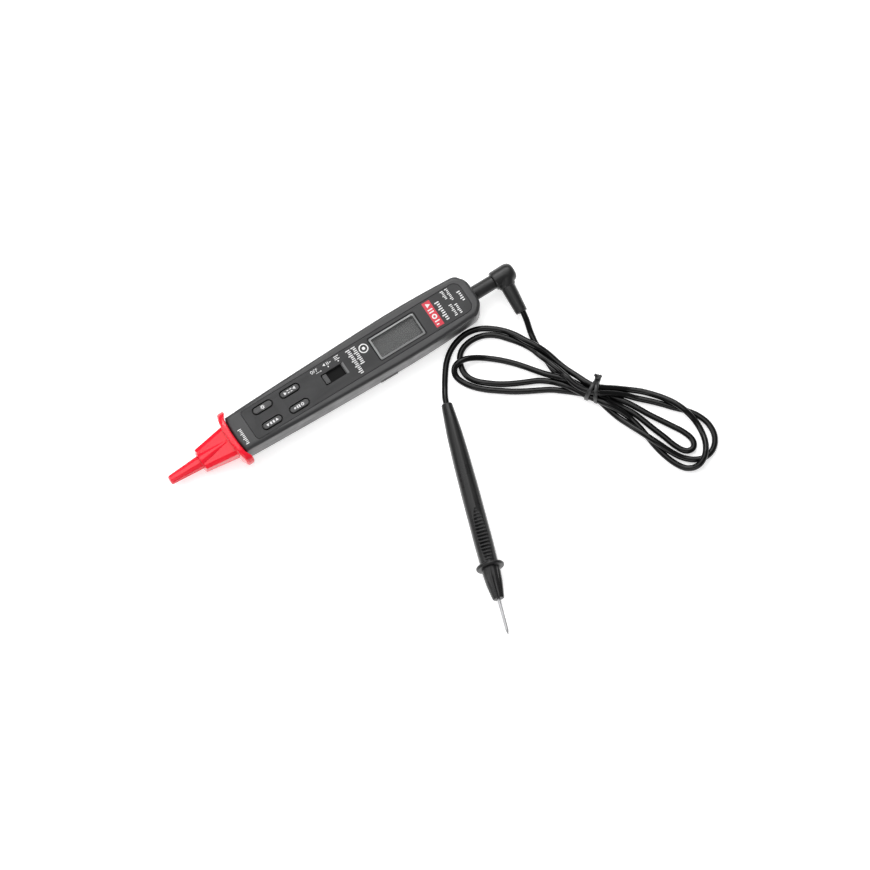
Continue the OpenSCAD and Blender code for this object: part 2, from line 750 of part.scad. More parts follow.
module tip_cap() {
  cap_total = cap_l + cap_seat;
  bore_l = cap_total - 2;
  color([0.9, 0.1, 0.12]) translate([tip_x, 0, pin_z]) rotate([0, 90, 0]) difference() {
    rotate_extrude() polygon([
      [0, 0], [cap_tip_d / 2 - 0.9, 0], [cap_tip_d / 2 - 0.3, 0.25], [cap_tip_d / 2, 0.9],
      [cap_rear_d / 2, cap_l - 0.5], [cap_rear_d / 2, cap_total], [0, cap_total]
    ]);
    translate([0, 0, cap_total - bore_l]) cylinder(d = pin_d + 2 * run, h = bore_l + 1);
    translate([0, 0, cap_total - 6]) cylinder(d = cap_rear_d - 2 * cap_wall, h = 7);
  }
}
module probe_pin() {
  pin_tip_x = tip_x + 3;
  collar_x = nose_front_x + cap_seat + 1.5 + fit;
  color([0.8, 0.7, 0.4]) union() {
    translate([pin_tip_x, 0, pin_z]) rotate([0, 90, 0])
      cylinder(d1 = 0.4, d2 = pin_d, h = 3);
    along_x(pin_tip_x + 3 - eps, collar_x + 1, pin_d, pin_z);
    along_x(collar_x, case_front_x + 3, pin_collar_d, pin_z);
    along_x(case_front_x + 2, case_front_x + spigot_l + 2, pin_d, pin_z);
  }
}

module jack_insulator() {
  color([0.1, 0.1, 0.1]) difference() {
    along_x(insulator_x0, insulator_x1, insulator_d, jack_z);
    along_x(insulator_x0 + insulator_wall, insulator_x1 + 1, insulator_bore_d, jack_z);
    along_x(insulator_x0 - 1, insulator_x0 + insulator_wall + 1, barrel_d + 2 * fit, jack_z);
  }
}
barrel_d = 5.2;
barrel_l = insulator_l - 0.5;
module jack_barrel() {
  color([0.85, 0.7, 0.35]) difference() {
    along_x(insulator_x0 - 1, insulator_x0 - 1 + barrel_l, barrel_d, jack_z);
    along_x(insulator_x0 + 1, insulator_x0 + barrel_l + 1, jack_bore_d, jack_z);
  }
}

// The plug at the meter's end of the lead
plug_pin_d = jack_bore_d - 0.15;
sleeve_x0 = tail_x - sleeve_in + 1;
sleeve_x1 = tail_x + sleeve_show;
elbow_x1 = sleeve_x1 + elbow_l;
boot_x = sleeve_x1 + 5.6;
sleeve_bore_d = barrel_d + 0.6;
module plug_pin() {
  pin_x0 = insulator_x0 + 2;
  color([0.85, 0.7, 0.35]) difference() {
    union() {
      along_x(pin_x0 + 1, sleeve_x1 + 4, plug_pin_d, jack_z);
      translate([pin_x0, 0, jack_z]) rotate([0, 90, 0])
        cylinder(d1 = plug_pin_d - 1.2, d2 = plug_pin_d, h = 1 + eps);
    }
    block(pin_x0 - 1, pin_x0 + 9, -0.25, 0.25, jack_z - 5, jack_z + 5);
  }
}
module plug_sleeve() {
  solid_x = insulator_x0 - 1 + barrel_l + 0.6;
  color([0.08, 0.08, 0.08]) difference() {
    along_x(sleeve_x0, sleeve_x1, sleeve_d, jack_z);
    along_x(sleeve_x0 - 1, solid_x, sleeve_bore_d, jack_z);
    along_x(solid_x - 1, sleeve_x1 + 1, plug_pin_d + 2 * fit, jack_z);
  }
}
boot_r0 = 4.3;
boot_r1 = 3.6;
boot_start = 2.4;
module along_boot() {
  translate([boot_x, 0, jack_z]) rotate([90 + boot_droop, 0, 0]) children();
}
module plug_elbow() {
  dome = 2.6;
  color([0.08, 0.08, 0.08]) difference() {
    union() {
      translate([sleeve_x1 + fit, 0, jack_z]) rotate([0, 90, 0]) rotate_extrude() polygon([
        [0, 0], [elbow_d / 2 - 0.5, 0], [elbow_d / 2, 0.5], [elbow_d / 2, elbow_l - dome],
        [elbow_d / 2 - 0.8, elbow_l - dome / 3], [elbow_d / 2 - 2.2, elbow_l - fit], [0, elbow_l - fit]
      ]);
      along_boot() cylinder(d = 2 * boot_r0 + 2.2, h = 7.4);
    }
    along_boot() translate([0, 0, boot_start]) cylinder(r = boot_r0 + fit, h = 20);
    along_x(sleeve_x1 - 1, sleeve_x1 + 4 + gap, plug_pin_d + 2 * fit, jack_z);
  }
}
boot_bore = 8;
module plug_boot() {
  color([0.09, 0.09, 0.09]) along_boot() difference() {
    union() {
      translate([0, 0, boot_start + fit]) cylinder(r = boot_r0, h = 5);
      translate([0, 0, boot_start + fit + 4.9])
        cylinder(r1 = boot_r0, r2 = boot_r1, h = boot_l - boot_start - fit - 4.9);
    }
    translate([0, 0, boot_l - boot_bore]) cylinder(d = cord_d + 0.3, h = boot_bore + 1);
  }
}

// Smooth curve through points, a tube swept along it, and the lead's route.
// The route's points are where the lead lies, in order from the plug and to the probe.
function bend(a, b, c, d, t) =
  0.5 * (2 * b + t * (c - a) + t * t * (2 * a - 5 * b + 4 * c - d)
         + t * t * t * (3 * b - a - 3 * c + d));
function at(p, i) = p[max(0, min(len(p) - 1, i))];
function smooth_line(p, n) = concat(
  [for (i = [0 : len(p) - 2], k = [0 : n - 1])
     bend(at(p, i - 1), p[i], p[i + 1], at(p, i + 2), k / n)],
  [p[len(p) - 1]]
);
function unit(v) = v / norm(v);
function heading(p, i) = unit(at(p, i + 1) - at(p, i - 1));
function ring_at(p, i, r, sides) =
  let (t = heading(p, i), side = unit(cross([0, 0, 1], t)), up = cross(t, side))
  [for (k = [0 : sides - 1]) p[i] + r * (cos(360 * k / sides) * side + sin(360 * k / sides) * up)];
module tube(p, d, sides) {
  n = len(p);
  rings = [for (i = [0 : n - 1]) each ring_at(p, i, d / 2, sides)];
  walls = [
    for (i = [0 : n - 2], k = [0 : sides - 1])
      let (j = (k + 1) % sides)
      each [[i * sides + k, i * sides + j, (i + 1) * sides + k],
            [i * sides + j, (i + 1) * sides + j, (i + 1) * sides + k]]
  ];
  first = [for (k = [sides - 1 : -1 : 0]) k];
  last = [for (k = [0 : sides - 1]) (n - 1) * sides + k];
  polyhedron(points = rings, faces = [for (f = concat(walls, [first, last])) [for (k = f) k]]);
}
wire_d = 1.3;
module pin_wire() {
  start_x = case_front_x + spigot_l + 2.1;
  color([0.8, 0.15, 0.1]) tube(smooth_line([
    [start_x, 0, pin_z], [start_x + 3, 0, pin_z], [start_x + 6, 0.5, pin_z + 1.6],
    [board_x0 + 2.5, 1, board_z - 2], [board_x0 + 5, 1, board_z - 1.4], [board_x0 + 9, 1, board_z - 0.8]
  ], 2), wire_d, 8);
}
module jack_wire() {
  color([0.1, 0.1, 0.1]) tube(smooth_line([
    [insulator_x0 - 1.2, 0, jack_z], [insulator_x0 - 2.6, 0, jack_z - 0.6],
    [insulator_x0 - 5, 0.4, jack_z - 1.6], [board_x1 - 3.5, 0.5, board_z - 1.6],
    [board_x1 - 6, 0.5, board_z - 0.8]
  ], 2), wire_d, 8);
}

lead_plug_route = [
  [124.4, -18, 8.3], [124.4, -23, 7.4], [123.6, -28.6, 5.8], [122.6, -33, 4.2],
  [121.7, -37, 2.7], [121, -42, 2], [120.8, -46, 2]
];
lead_probe_route = [
  [112, -30.3, 2.9], [108, -24.5, 2], [102.5, -19.8, 2], [96.5, -16.9, 2], [90, -15.8, 2],
  [83, -16.9, 2], [76, -20, 2], [70.4, -24.7, 2], [65.7, -30.6, 2], [61.5, -36.8, 2.3],
  [57.7, -43.2, 3.2], [56.5, -46.5, 3.4], [55.2, -50.3, 3.6]
];
lead_steps = 1;
module lead_run_plug() {
  color([0.06, 0.06, 0.06]) tube(smooth_line(lead_plug_route, lead_steps), cord_d, 8);
}
module lead_run_probe() {
  color([0.06, 0.06, 0.06]) tube(smooth_line(lead_probe_route, lead_steps), cord_d, 8);
}
hank_edge = [
  [118, -40], [124.5, -52], [127.5, -64], [131, -76], [134.2, -82.3], [138, -87], [145, -92],
  [156, -101], [166, -109], [174.5, -121.5], [179.5, -131], [180.5, -142], [177.5, -151.5], [169.5, -157.5],
  [156, -159], [148, -151], [142, -137], [138, -119], [134, -104], [130.8, -92.7], [127, -88],
  [119, -79], [108, -71], [94, -63], [80, -53], [72, -44], [69, -36], [70.5, -30], [76, -25],
  [84, -21.5], [94, -20], [103, -23.5], [111, -31]
];
hank_steps = 2;
function closed_line(p, n) =
  let (m = len(p))
  [for (i = [0 : m - 1], k = [0 : n - 1])
     bend(p[(i + m - 1) % m], p[i], p[(i + 1) % m], p[(i + 2) % m], k / n)];
module lead_hank() {
  color([0.06, 0.06, 0.06]) linear_extrude(hank_h) polygon(closed_line(hank_edge, hank_steps));
}
tie_place = [132.5, -87.5];
tie_angle = -51.5;
tie_w = 3;
tie_t = 1.4;
tie_reach = 10;
module cord_tie() {
  color([0.07, 0.07, 0.07]) translate([tie_place[0], tie_place[1], 0]) rotate(tie_angle) difference() {
    translate([0, 0, (hank_h + tie_t) / 2])
      cube([tie_w, tie_reach + 2 * tie_t, hank_h + tie_t], center = true);
    translate([0, 0, (hank_h + gap) / 2 - 1])
      cube([tie_w + 1, tie_reach, hank_h + gap + 2], center = true);
  }
}

// The probe at the lead's other end, along its own +X from where the lead enters
probe_start = [56.5, -46.5];
probe_heading = -108.7;
probe_tilt = asin((ring_d - handle_rear_d) / 2 / handle_l);
module along_probe() {
  translate([probe_start[0], probe_start[1], handle_rear_d / 2])
    rotate([0, -probe_tilt, probe_heading]) rotate([0, 90, 0]) children();
}
handle_bore_d = 4.2;
shank_d = needle_d - 0.4;
wire_bore_d = 2.8;
crimp_d = 3.6;
crimp_at = handle_l + 4;
crimp_l = 8;
rib_pitch = 2.3;
rib_count = 15;
module probe_handle() {
  end = handle_l + cone_l;
  color([0.09, 0.09, 0.09]) along_probe() difference() {
    rotate_extrude() polygon([
      [0, 0], [handle_rear_d / 2 - 0.5, 0], [handle_rear_d / 2, 0.5],
      [handle_d / 2 - 0.9, 20], [handle_d / 2 - 0.3, 40], [handle_d / 2 - 0.1, 60],
      [handle_d / 2, handle_l - 12], [handle_d / 2 - 0.3, handle_l - ring_t / 2],
      [ring_d / 2 - 0.7, handle_l - ring_t / 2], [ring_d / 2, handle_l - ring_t / 4],
      [ring_d / 2, handle_l + ring_t / 4], [ring_d / 2 - 0.7, handle_l + ring_t / 2],
      [handle_d / 2 - 0.3, handle_l + ring_t / 2], [handle_d / 2 - 1, handle_l + cone_l / 2],
      [3.5, end - 0.3], [3.2, end], [0, end]
    ]);
    translate([0, 0, -1]) cylinder(d = handle_bore_d, h = 13);
    cylinder(d = wire_bore_d, h = crimp_at);
    translate([0, 0, crimp_at - fit]) cylinder(d = crimp_d + 2 * fit, h = crimp_l + 2 * fit);
    translate([0, 0, crimp_at]) cylinder(d = shank_d + 2 * fit, h = end);
    for (i = [0 : rib_count - 1])
      translate([-handle_d / 2, 0, handle_l - 6 - rib_pitch * i])
        cube([1.2, 5, 1.1], center = true);
  }
}
module probe_wire() {
  color([0.1, 0.1, 0.1]) along_probe()
    translate([0, 0, 8]) cylinder(d = wire_bore_d - 2 * fit, h = crimp_at - 8.2);
}
module needle_crimp() {
  color([0.85, 0.7, 0.35]) along_probe() translate([0, 0, crimp_at]) difference() {
    cylinder(d = crimp_d, h = crimp_l);
    translate([0, 0, 2]) cylinder(d = shank_d + 2 * fit, h = crimp_l);
  }
}
module probe_needle() {
  tip_l = 3;
  end = handle_l + cone_l + needle_l;
  color([0.82, 0.82, 0.84]) along_probe() {
    translate([0, 0, crimp_at + 2 + fit])
      cylinder(d = shank_d, h = handle_l + cone_l - crimp_at - 1.6);
    translate([0, 0, handle_l + cone_l + 0.3]) cylinder(d = needle_d, h = needle_l - tip_l - 0.3);
    translate([0, 0, end - tip_l]) cylinder(d1 = needle_d, d2 = 0.3, h = tip_l);
  }
}

rear_case();
front_case();
face_panel();
display_window();
lcd_glass();
lcd_holder();
contact_strips();
main_board();
meter_chip();
board_parts();
tact_switches();
switch_base();
buzzer();
cell_1();
cell_2();
battery_springs();
battery_plates();
battery_door();
door_screw();
case_screws();
nose_guard();
probe_pin();
pin_wire();
jack_insulator();
jack_barrel();
jack_wire();
tip_cap();
range_knob();
knob_wipers();
key_1();
key_2();
key_3();
key_4();
plug_pin();
plug_sleeve();
plug_elbow();
plug_boot();
lead_run_plug();
lead_hank();
lead_run_probe();
cord_tie();
probe_handle();
probe_wire();
needle_crimp();
probe_needle();
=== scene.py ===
import math

import bmesh
import bpy
from bpy.props import FloatProperty, FloatVectorProperty, IntProperty, PointerProperty
from mathutils import Matrix, Vector


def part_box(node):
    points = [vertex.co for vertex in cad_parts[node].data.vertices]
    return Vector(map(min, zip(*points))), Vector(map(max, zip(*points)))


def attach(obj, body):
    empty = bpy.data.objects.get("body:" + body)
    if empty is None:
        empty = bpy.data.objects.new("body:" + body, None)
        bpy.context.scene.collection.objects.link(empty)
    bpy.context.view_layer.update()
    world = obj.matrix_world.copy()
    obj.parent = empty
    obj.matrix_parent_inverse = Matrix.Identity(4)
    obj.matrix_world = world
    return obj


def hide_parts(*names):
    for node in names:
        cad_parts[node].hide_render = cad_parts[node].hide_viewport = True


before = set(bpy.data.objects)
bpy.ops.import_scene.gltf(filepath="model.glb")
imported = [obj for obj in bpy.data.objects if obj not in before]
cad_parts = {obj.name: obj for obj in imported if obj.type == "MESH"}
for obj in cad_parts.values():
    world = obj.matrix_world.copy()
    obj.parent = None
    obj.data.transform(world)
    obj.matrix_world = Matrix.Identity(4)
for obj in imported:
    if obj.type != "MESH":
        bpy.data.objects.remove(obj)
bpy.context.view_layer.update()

bl_info = {
    "name": "Pen Multimeter",
    "version": (1, 0, 0),
    "blender": (4, 5, 0),
    "location": "3D View > Sidebar > Pen Meter",
    "description": "Finishes a pen-type multimeter and its test lead over their frame",
    "category": "Object",
}

MM = 0.001


# Places and sizes that the part's source gives, in millimetres

TIP_X = -105.0
NOSE_FRONT_X = -83.7
GUARD_X = -64.8
CASE_FRONT_X = -60.85
CASE_T = 19.0
SPLIT_Z = 10.0
CEILING_Z = 17.2
PANEL_TOP = 19.0
WINDOW_X = 51.9
KEYS = {"key_1": (-37.45, 5.45), "key_2": (-18.85, 5.45), "key_3": (-37.45, -5.45), "key_4": (-18.85, -5.45)}
SLOT_X = 8.1
KNOB_X = 3.1
PIN_Z = 7.0
PANEL_X0 = -50.35
PANEL_X1 = 99.4
PANEL_W = 20.0
WINDOW_L = 32.2
WINDOW_W = 16.0
HOLE_L = 13.7
HOLE_W = 5.3
SLOT_L = 13.7
SLOT_W = 7.1
GUARD_W = 36.0
NOSE_FRONT_W = 13.4
NOSE_REAR_W = 18.8
NOSE_FRONT_LOW = 1.4
JACK_Z = 11.5
SLEEVE_X1 = 118.8
BOOT_X = 124.4
PROBE_START = (56.5, -46.5, 3.4)
PROBE_HEADING = -108.7
PROBE_TILT = math.degrees(math.asin(5.0 / 104.0))
HANDLE_L = 104.0
CONE_L = 20.3

# Places and sizes of the visual pieces alone, read from the photograph, in millimetres

LEAN_FROM_Z = 5.5
LEAN_AT_NOSE = 0.55
LEAN_GROWTH = 0.45
GRIP_X0 = 31.9
GRIP_PITCH = 0.83
GRIP_RIBS = 14
RIB_SHARE = 0.62
RIB_OUT = 0.28
RIB_IN = 0.6
RIB_Z0 = 1.9
RIB_Z1 = 4.3
GUARD_SWEEP = 2.4
WING_FROM_Y = 11.0
WING_W = 5.0
FLARE_FRONT = 0.6
FLARE_BACK = 1.6
FIELD_X0 = 74.4
FIELD_X1 = 79.5

# Centreline of the whole lead, from the plug's boot to inside the probe's handle
LEAD_ROUTE = [
    (124.5, -14, 9), (124.5, -21.4, 7.7), (123.6, -28.6, 5.8), (122, -35.5, 3.2), (120.9, -42.8, 2),
    (120.8, -50.3, 1.9), (120.6, -57.8, 1.9), (121, -65.3, 1.9), (122.9, -72.5, 1.9), (127.2, -78.6, 1.9),
    (132.6, -83.9, 1.9), (137.2, -89.7, 1.9), (141.5, -95.9, 1.9), (145.8, -102.1, 1.9), (149.4, -108.6, 1.9),
    (152.8, -115.4, 1.9), (156.5, -121.9, 1.9), (160.2, -128.4, 1.9), (163.8, -135, 1.9), (165.6, -141.1, 1.9),
    (165.1, -144.3, 1.9), (163, -146.4, 1.9), (160, -146.3, 1.9), (157.6, -144.4, 1.9), (154.9, -139, 1.9),
    (152.8, -131.8, 1.9), (150.4, -124.6, 1.9), (148.2, -117.4, 1.9), (145.8, -110.3, 1.9), (142.3, -103.7, 1.9),
    (138.5, -97.9, 2.8), (136, -93.1, 4.2), (132.8, -87.4, 5), (128.8, -81.1, 5.5), (125.2, -74.5, 5.6),
    (121.1, -69.5, 5.6), (116.8, -64.3, 4.1), (112.6, -58.3, 2.4), (108.3, -52.2, 1.9), (103.6, -46.3, 1.9),
    (98.4, -40.8, 1.9), (92.8, -35.9, 2.1), (86.6, -31.9, 3.5), (79.8, -29.5, 5.3), (75.6, -29.3, 5.4),
    (72.9, -30.1, 4.4), (71.1, -32.2, 3.2), (70.6, -35, 2.3), (71.9, -39.6, 1.9), (75.9, -45.9, 1.9),
    (81.2, -51.2, 1.9), (87.1, -55.8, 1.9), (93.2, -60.3, 1.9), (99.6, -64.2, 1.9), (106.2, -67.8, 1.9),
    (112.7, -71.5, 1.9), (118.6, -76.1, 1.9), (124.3, -81, 1.9), (129.6, -86.4, 1.9), (133, -93, 1.9),
    (134.8, -100.3, 1.9), (136.8, -107.5, 2), (139.3, -114.5, 3.2), (141.8, -121.4, 4.9), (144.5, -128.4, 5.7),
    (147.5, -135.2, 5.1), (150.7, -141.8, 3.4), (154.7, -148, 2.1), (160.2, -152.9, 1.9), (165.9, -154.8, 1.9),
    (170.9, -154, 1.9), (175.2, -151, 1.9), (178.3, -145.6, 1.9), (178.8, -138.4, 1.9), (176.5, -131.3, 1.9),
    (172.3, -125, 1.9), (167.3, -119.5, 1.9), (162.4, -113.7, 1.9), (157.3, -108.2, 1.9), (152, -102.9, 2),
    (146.8, -97.7, 3.5), (140.9, -93.8, 6), (134.8, -90.5, 8.4), (129.2, -85.6, 8.8), (125.4, -79.1, 9.1),
    (123.6, -72, 9.4), (122.6, -65.8, 7.5), (120.9, -58.8, 5.7), (118.6, -51.7, 4.9), (116.9, -44.6, 3),
    (113.7, -38, 1.9), (109.2, -31.9, 1.9), (104.3, -26.3, 1.9), (98, -22.3, 1.9), (90.6, -20.9, 1.9),
    (83.7, -22.2, 1.9), (79.2, -25.6, 1.9), (76.3, -31.7, 1.9), (76, -37.7, 1.9), (78.6, -43.2, 2.3),
    (83.8, -48.5, 2.9), (89.9, -53, 2.6), (96.4, -56.6, 2.1), (103.2, -59.8, 1.9), (110, -63.1, 1.9),
    (115.8, -67.8, 2.4), (120.2, -73.6, 4.2), (123.6, -79.3, 5.6), (127.2, -85.8, 5.4), (131.3, -92.1, 5.4),
    (135.4, -98.4, 5.4), (139.3, -104.7, 4), (142.2, -111.4, 2.3), (143.8, -118.7, 1.9), (144.6, -126.1, 1.9),
    (145.3, -133.6, 1.9), (146.7, -141, 1.9), (149, -148.1, 1.9), (152.6, -154.1, 2), (156.4, -156.7, 2.8),
    (160.2, -157.3, 4.1), (163.8, -156.1, 5.3), (167.1, -153.4, 5.4), (170.8, -147.6, 3.8), (172.8, -140.5, 2.6),
    (173, -133.1, 3.4), (171.4, -126, 5.3), (168.9, -119, 5.3), (165.5, -112.4, 3.9), (161.4, -106.3, 2.4),
    (156.5, -100.7, 1.9), (150.7, -95.9, 2.2), (144.7, -91.8, 4), (138.6, -88.4, 6.6), (134.3, -85.2, 8),
    (131.9, -80.8, 7.8), (129.5, -73.9, 6.2), (126.9, -66.9, 4.9), (124.8, -59.8, 4.5), (122.8, -52.6, 5.2),
    (119.8, -45.7, 6.1), (116.3, -39.1, 5.5), (113.4, -32.4, 3.8), (109.5, -26.3, 2.2), (104, -21.1, 1.9),
    (97.6, -17.2, 1.9), (90.3, -15.7, 1.9), (82.9, -16.8, 1.9), (76.1, -19.9, 1.9), (70.4, -24.7, 1.9),
    (65.7, -30.6, 1.9), (61.5, -36.8, 2.3), (57.7, -43.2, 3.2), (55.2, -50.3, 3.6),
]


# Lamps: power as a share of the softbox's, size and place, in metres
LAMPS = {
    "softbox_overhead": (1.0, (1.0, 0.95), (0.0, 0.26, 1.0)),
    "softbox_back": (0.85, (0.8, 0.5), (0.45, 0.62, 0.78)),
    "softbox_fill": (0.42, (0.6, 0.5), (-0.75, 0.35, 0.65)),
    "softbox_front": (0.36, (0.7, 0.4), (-0.45, -0.75, 0.5)),
}


# Settings that a user would change


class StageSettings(bpy.types.PropertyGroup):
    turn: FloatProperty(
        name="Turn", description="How far round the meter the camera stands", default=math.radians(32.7),
        subtype="ANGLE", unit="ROTATION")
    height: FloatProperty(
        name="Height", description="Angle of the camera above the table", default=math.radians(72.0),
        subtype="ANGLE", unit="ROTATION")
    distance: FloatProperty(
        name="Distance", description="Distance from the camera to what it looks at", default=4.0,
        subtype="DISTANCE", unit="LENGTH")
    lens: FloatProperty(name="Lens", description="Focal length in millimetres", default=284.2)
    aim: FloatVectorProperty(
        name="Aim", description="Point that the camera looks at", default=(0.03957, -0.06031, 0.009),
        subtype="TRANSLATION", unit="LENGTH")
    floor_colour: FloatVectorProperty(
        name="Floor", description="Colour of the table and backdrop", default=(0.86, 0.86, 0.86),
        subtype="COLOR", min=0.0, max=1.0)
    daylight: FloatProperty(name="Ambient", description="Strength of the light from all round", default=0.21)
    softbox: FloatProperty(
        name="Softbox", description="Power of the large lamp overhead", default=5.9, unit="POWER")


class CaseSettings(bpy.types.PropertyGroup):
    shell_colour: FloatVectorProperty(
        name="Shell", description="Colour of the case", default=(0.025, 0.025, 0.026), subtype="COLOR", min=0.0,
        max=1.0)
    panel_colour: FloatVectorProperty(
        name="Panel", description="Colour of the face panel", default=(0.030, 0.030, 0.031), subtype="COLOR",
        min=0.0, max=1.0)
    red: FloatVectorProperty(
        name="Red", description="Colour of the nose guard and the cap", default=(0.94, 0.009, 0.030), subtype="COLOR",
        min=0.0, max=1.0)
    print_white: FloatVectorProperty(
        name="Print", description="Colour of the white print", default=(0.82, 0.82, 0.82), subtype="COLOR",
        min=0.0, max=1.0)
    field_red: FloatVectorProperty(
        name="Field", description="Colour of the printed field", default=(0.64, 0.018, 0.045), subtype="COLOR",
        min=0.0, max=1.0)
    edge_softness: FloatProperty(
        name="Edge softness", description="Width of the rounded edges of the mouldings", default=0.00022,
        subtype="DISTANCE", unit="LENGTH")


class LeadSettings(bpy.types.PropertyGroup):
    diameter: FloatProperty(
        name="Diameter", description="Diameter of the lead", default=0.0037, subtype="DISTANCE", unit="LENGTH")
    between: IntProperty(
        name="Steps", description="Points along the lead between two points of its route", default=6, min=2)
    jacket_colour: FloatVectorProperty(
        name="Jacket", description="Colour of the lead's jacket", default=(0.004, 0.004, 0.0042), subtype="COLOR",
        min=0.0, max=1.0)
    plug_colour: FloatVectorProperty(
        name="Plug", description="Colour of the plug and the probe's handle", default=(0.013, 0.013, 0.0133),
        subtype="COLOR", min=0.0, max=1.0)


def settings():
    scene = bpy.context.scene
    return scene.pen_meter_stage, scene.pen_meter_case, scene.pen_meter_lead


def held(value):
    """A value held between 0 and 1."""
    return min(1.0, max(0.0, value))


def at(*place):
    """A place given in millimetres, in metres."""
    return [c * MM for c in place]


# Working on one piece at a time


def put_down():
    if bpy.context.object and bpy.context.object.mode != "OBJECT":
        bpy.ops.object.mode_set(mode="OBJECT")
    bpy.ops.object.select_all(action="DESELECT")


def pick_up(piece, *others):
    put_down()
    for o in (piece, *others):
        o.select_set(True)
    bpy.context.view_layer.objects.active = piece


def edit(piece):
    pick_up(piece)
    bpy.ops.object.mode_set(mode="EDIT")
    bpy.ops.mesh.select_all(action="DESELECT")


def choose(piece, kind, test):
    """Selects the faces, edges or vertices of the mesh being edited that pass a test."""
    bpy.ops.mesh.select_mode(type=kind)
    mesh = bmesh.from_edit_mesh(piece.data)
    mesh.select_mode = {kind}
    for part in (mesh.verts, mesh.edges, mesh.faces):
        for item in part:
            item.select = False
    found = 0
    for item in {"VERT": mesh.verts, "EDGE": mesh.edges, "FACE": mesh.faces}[kind]:
        if test(item):
            item.select = True
            found += 1
    mesh.select_flush_mode()
    bmesh.update_edit_mesh(piece.data)
    return found


def just_added(name):
    piece = bpy.context.object
    piece.name = name
    piece.data.name = name
    return piece


def apply_modifiers(piece):
    pick_up(piece)
    for m in list(piece.modifiers):
        bpy.ops.object.modifier_apply(modifier=m.name)


def settle(piece):
    pick_up(piece)
    bpy.ops.object.transform_apply(location=True, rotation=True, scale=True)


def cut(piece, tool, how="DIFFERENCE"):
    m = piece.modifiers.new("cut", "BOOLEAN")
    m.operation = how
    m.solver = "EXACT"
    m.object = tool
    apply_modifiers(piece)
    bpy.data.objects.remove(tool)


def smooth(piece, angle=35.0, weighted=True):
    pick_up(piece)
    bpy.ops.object.shade_smooth_by_angle(angle=math.radians(angle))
    if weighted:
        m = piece.modifiers.new("even normals", "WEIGHTED_NORMAL")
        m.keep_sharp = True
        m.weight = 60
        apply_modifiers(piece)


def hand_over(piece, body, slot, material, *nodes):
    """Gives a finished piece its material and its body, and hides the nodes it stands for; the slot is not used."""
    if material is not None:
        piece.data.materials.clear()
        piece.data.materials.append(material)
    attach(piece, body)
    if nodes:
        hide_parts(*nodes)


def merged_copy(node, name):
    """A closed copy of a node's mesh, with flat places as single faces, to finish as a piece."""
    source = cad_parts[node]
    piece = bpy.data.objects.new(name, source.data.copy())
    piece.data.name = name
    bpy.context.scene.collection.objects.link(piece)
    edit(piece)
    bpy.ops.mesh.select_all(action="SELECT")
    bpy.ops.mesh.customdata_custom_splitnormals_clear()
    bpy.ops.mesh.remove_doubles(threshold=2e-6)
    bpy.ops.mesh.dissolve_limited(angle_limit=math.radians(0.1))
    bpy.ops.object.mode_set(mode="OBJECT")
    return piece


def round_edges(piece, test, width, segments=2, clamp=False):
    edit(piece)
    if choose(piece, "EDGE", test):
        bpy.ops.mesh.bevel(offset=width, segments=segments, clamp_overlap=clamp)
    put_down()


def sharp(edge, angle=40.0):
    return len(edge.link_faces) == 2 and edge.calc_face_angle() > math.radians(angle)


def flat_at(edge, z):
    return all(abs(v.co.z - z * MM) < 2e-5 for v in edge.verts)


def upright(edge):
    return abs(edge.verts[0].co.z - edge.verts[1].co.z) > 1e-5


def lengthwise(edge, least):
    """Whether an edge runs along X for more than a length."""
    return abs(edge.verts[0].co.x - edge.verts[1].co.x) > least * MM


def shift(piece, test, *by):
    """Moves the vertices that pass a test."""
    edit(piece)
    choose(piece, "VERT", test)
    bpy.ops.transform.translate(value=at(*by))
    put_down()


def rounded_block(name, x0, x1, y0, y1, z0, z1, corner, rim=0.0, steps=6, rim_steps=3):
    """A block whose upright corners, and its top rim if wanted, are rounded."""
    piece = box(name, x0, x1, y0, y1, z0, z1)
    round_edges(piece, upright, corner * MM, steps)
    if rim:
        round_edges(piece, lambda e: flat_at(e, z1), rim * MM, rim_steps)
    return piece


def raise_top(piece, rise, grow_x, grow_y, x, y):
    """Extrudes the top face upwards and resizes it about a point."""
    edit(piece)
    high = max(v.co.z for v in piece.data.vertices)
    choose(piece, "FACE", lambda f: f.normal.z > 0.9 and (
        f.calc_center_median() - Vector((x * MM, y * MM, high))).length < 4e-4)
    bpy.ops.mesh.extrude_region_move(TRANSFORM_OT_translate={"value": (0, 0, rise * MM)})
    bpy.ops.transform.resize(value=(grow_x, grow_y, 1), center_override=(x * MM, y * MM, high))
    put_down()


def turned(name, stations, sides, axis_z=0.0):
    """A turned piece along +X: a disc is added at the first station and extruded from one to the next."""
    put_down()
    x0, r0 = stations[0]
    bpy.ops.mesh.primitive_circle_add(
        vertices=sides, radius=r0 * MM, fill_type="NGON", location=at(x0, 0, axis_z), rotation=(0, math.pi / 2, 0))
    piece = just_added(name)
    settle(piece)
    bpy.ops.object.mode_set(mode="EDIT")
    bpy.ops.mesh.select_all(action="SELECT")
    for (xa, ra), (xb, rb) in zip(stations, stations[1:]):
        bpy.ops.mesh.extrude_region_move(TRANSFORM_OT_translate={"value": ((xb - xa) * MM, 0, 0)})
        bpy.ops.transform.resize(value=(1, rb / ra, rb / ra), center_override=at(xb, 0, axis_z))
    bpy.ops.mesh.select_all(action="SELECT")
    bpy.ops.mesh.normals_make_consistent(inside=False)
    put_down()
    return piece


def box(name, x0, x1, y0, y1, z0, z1):
    put_down()
    bpy.ops.mesh.primitive_cube_add(
        size=1, location=at((x0 + x1) / 2, (y0 + y1) / 2, (z0 + z1) / 2), scale=at(x1 - x0, y1 - y0, z1 - z0))
    piece = just_added(name)
    settle(piece)
    return piece


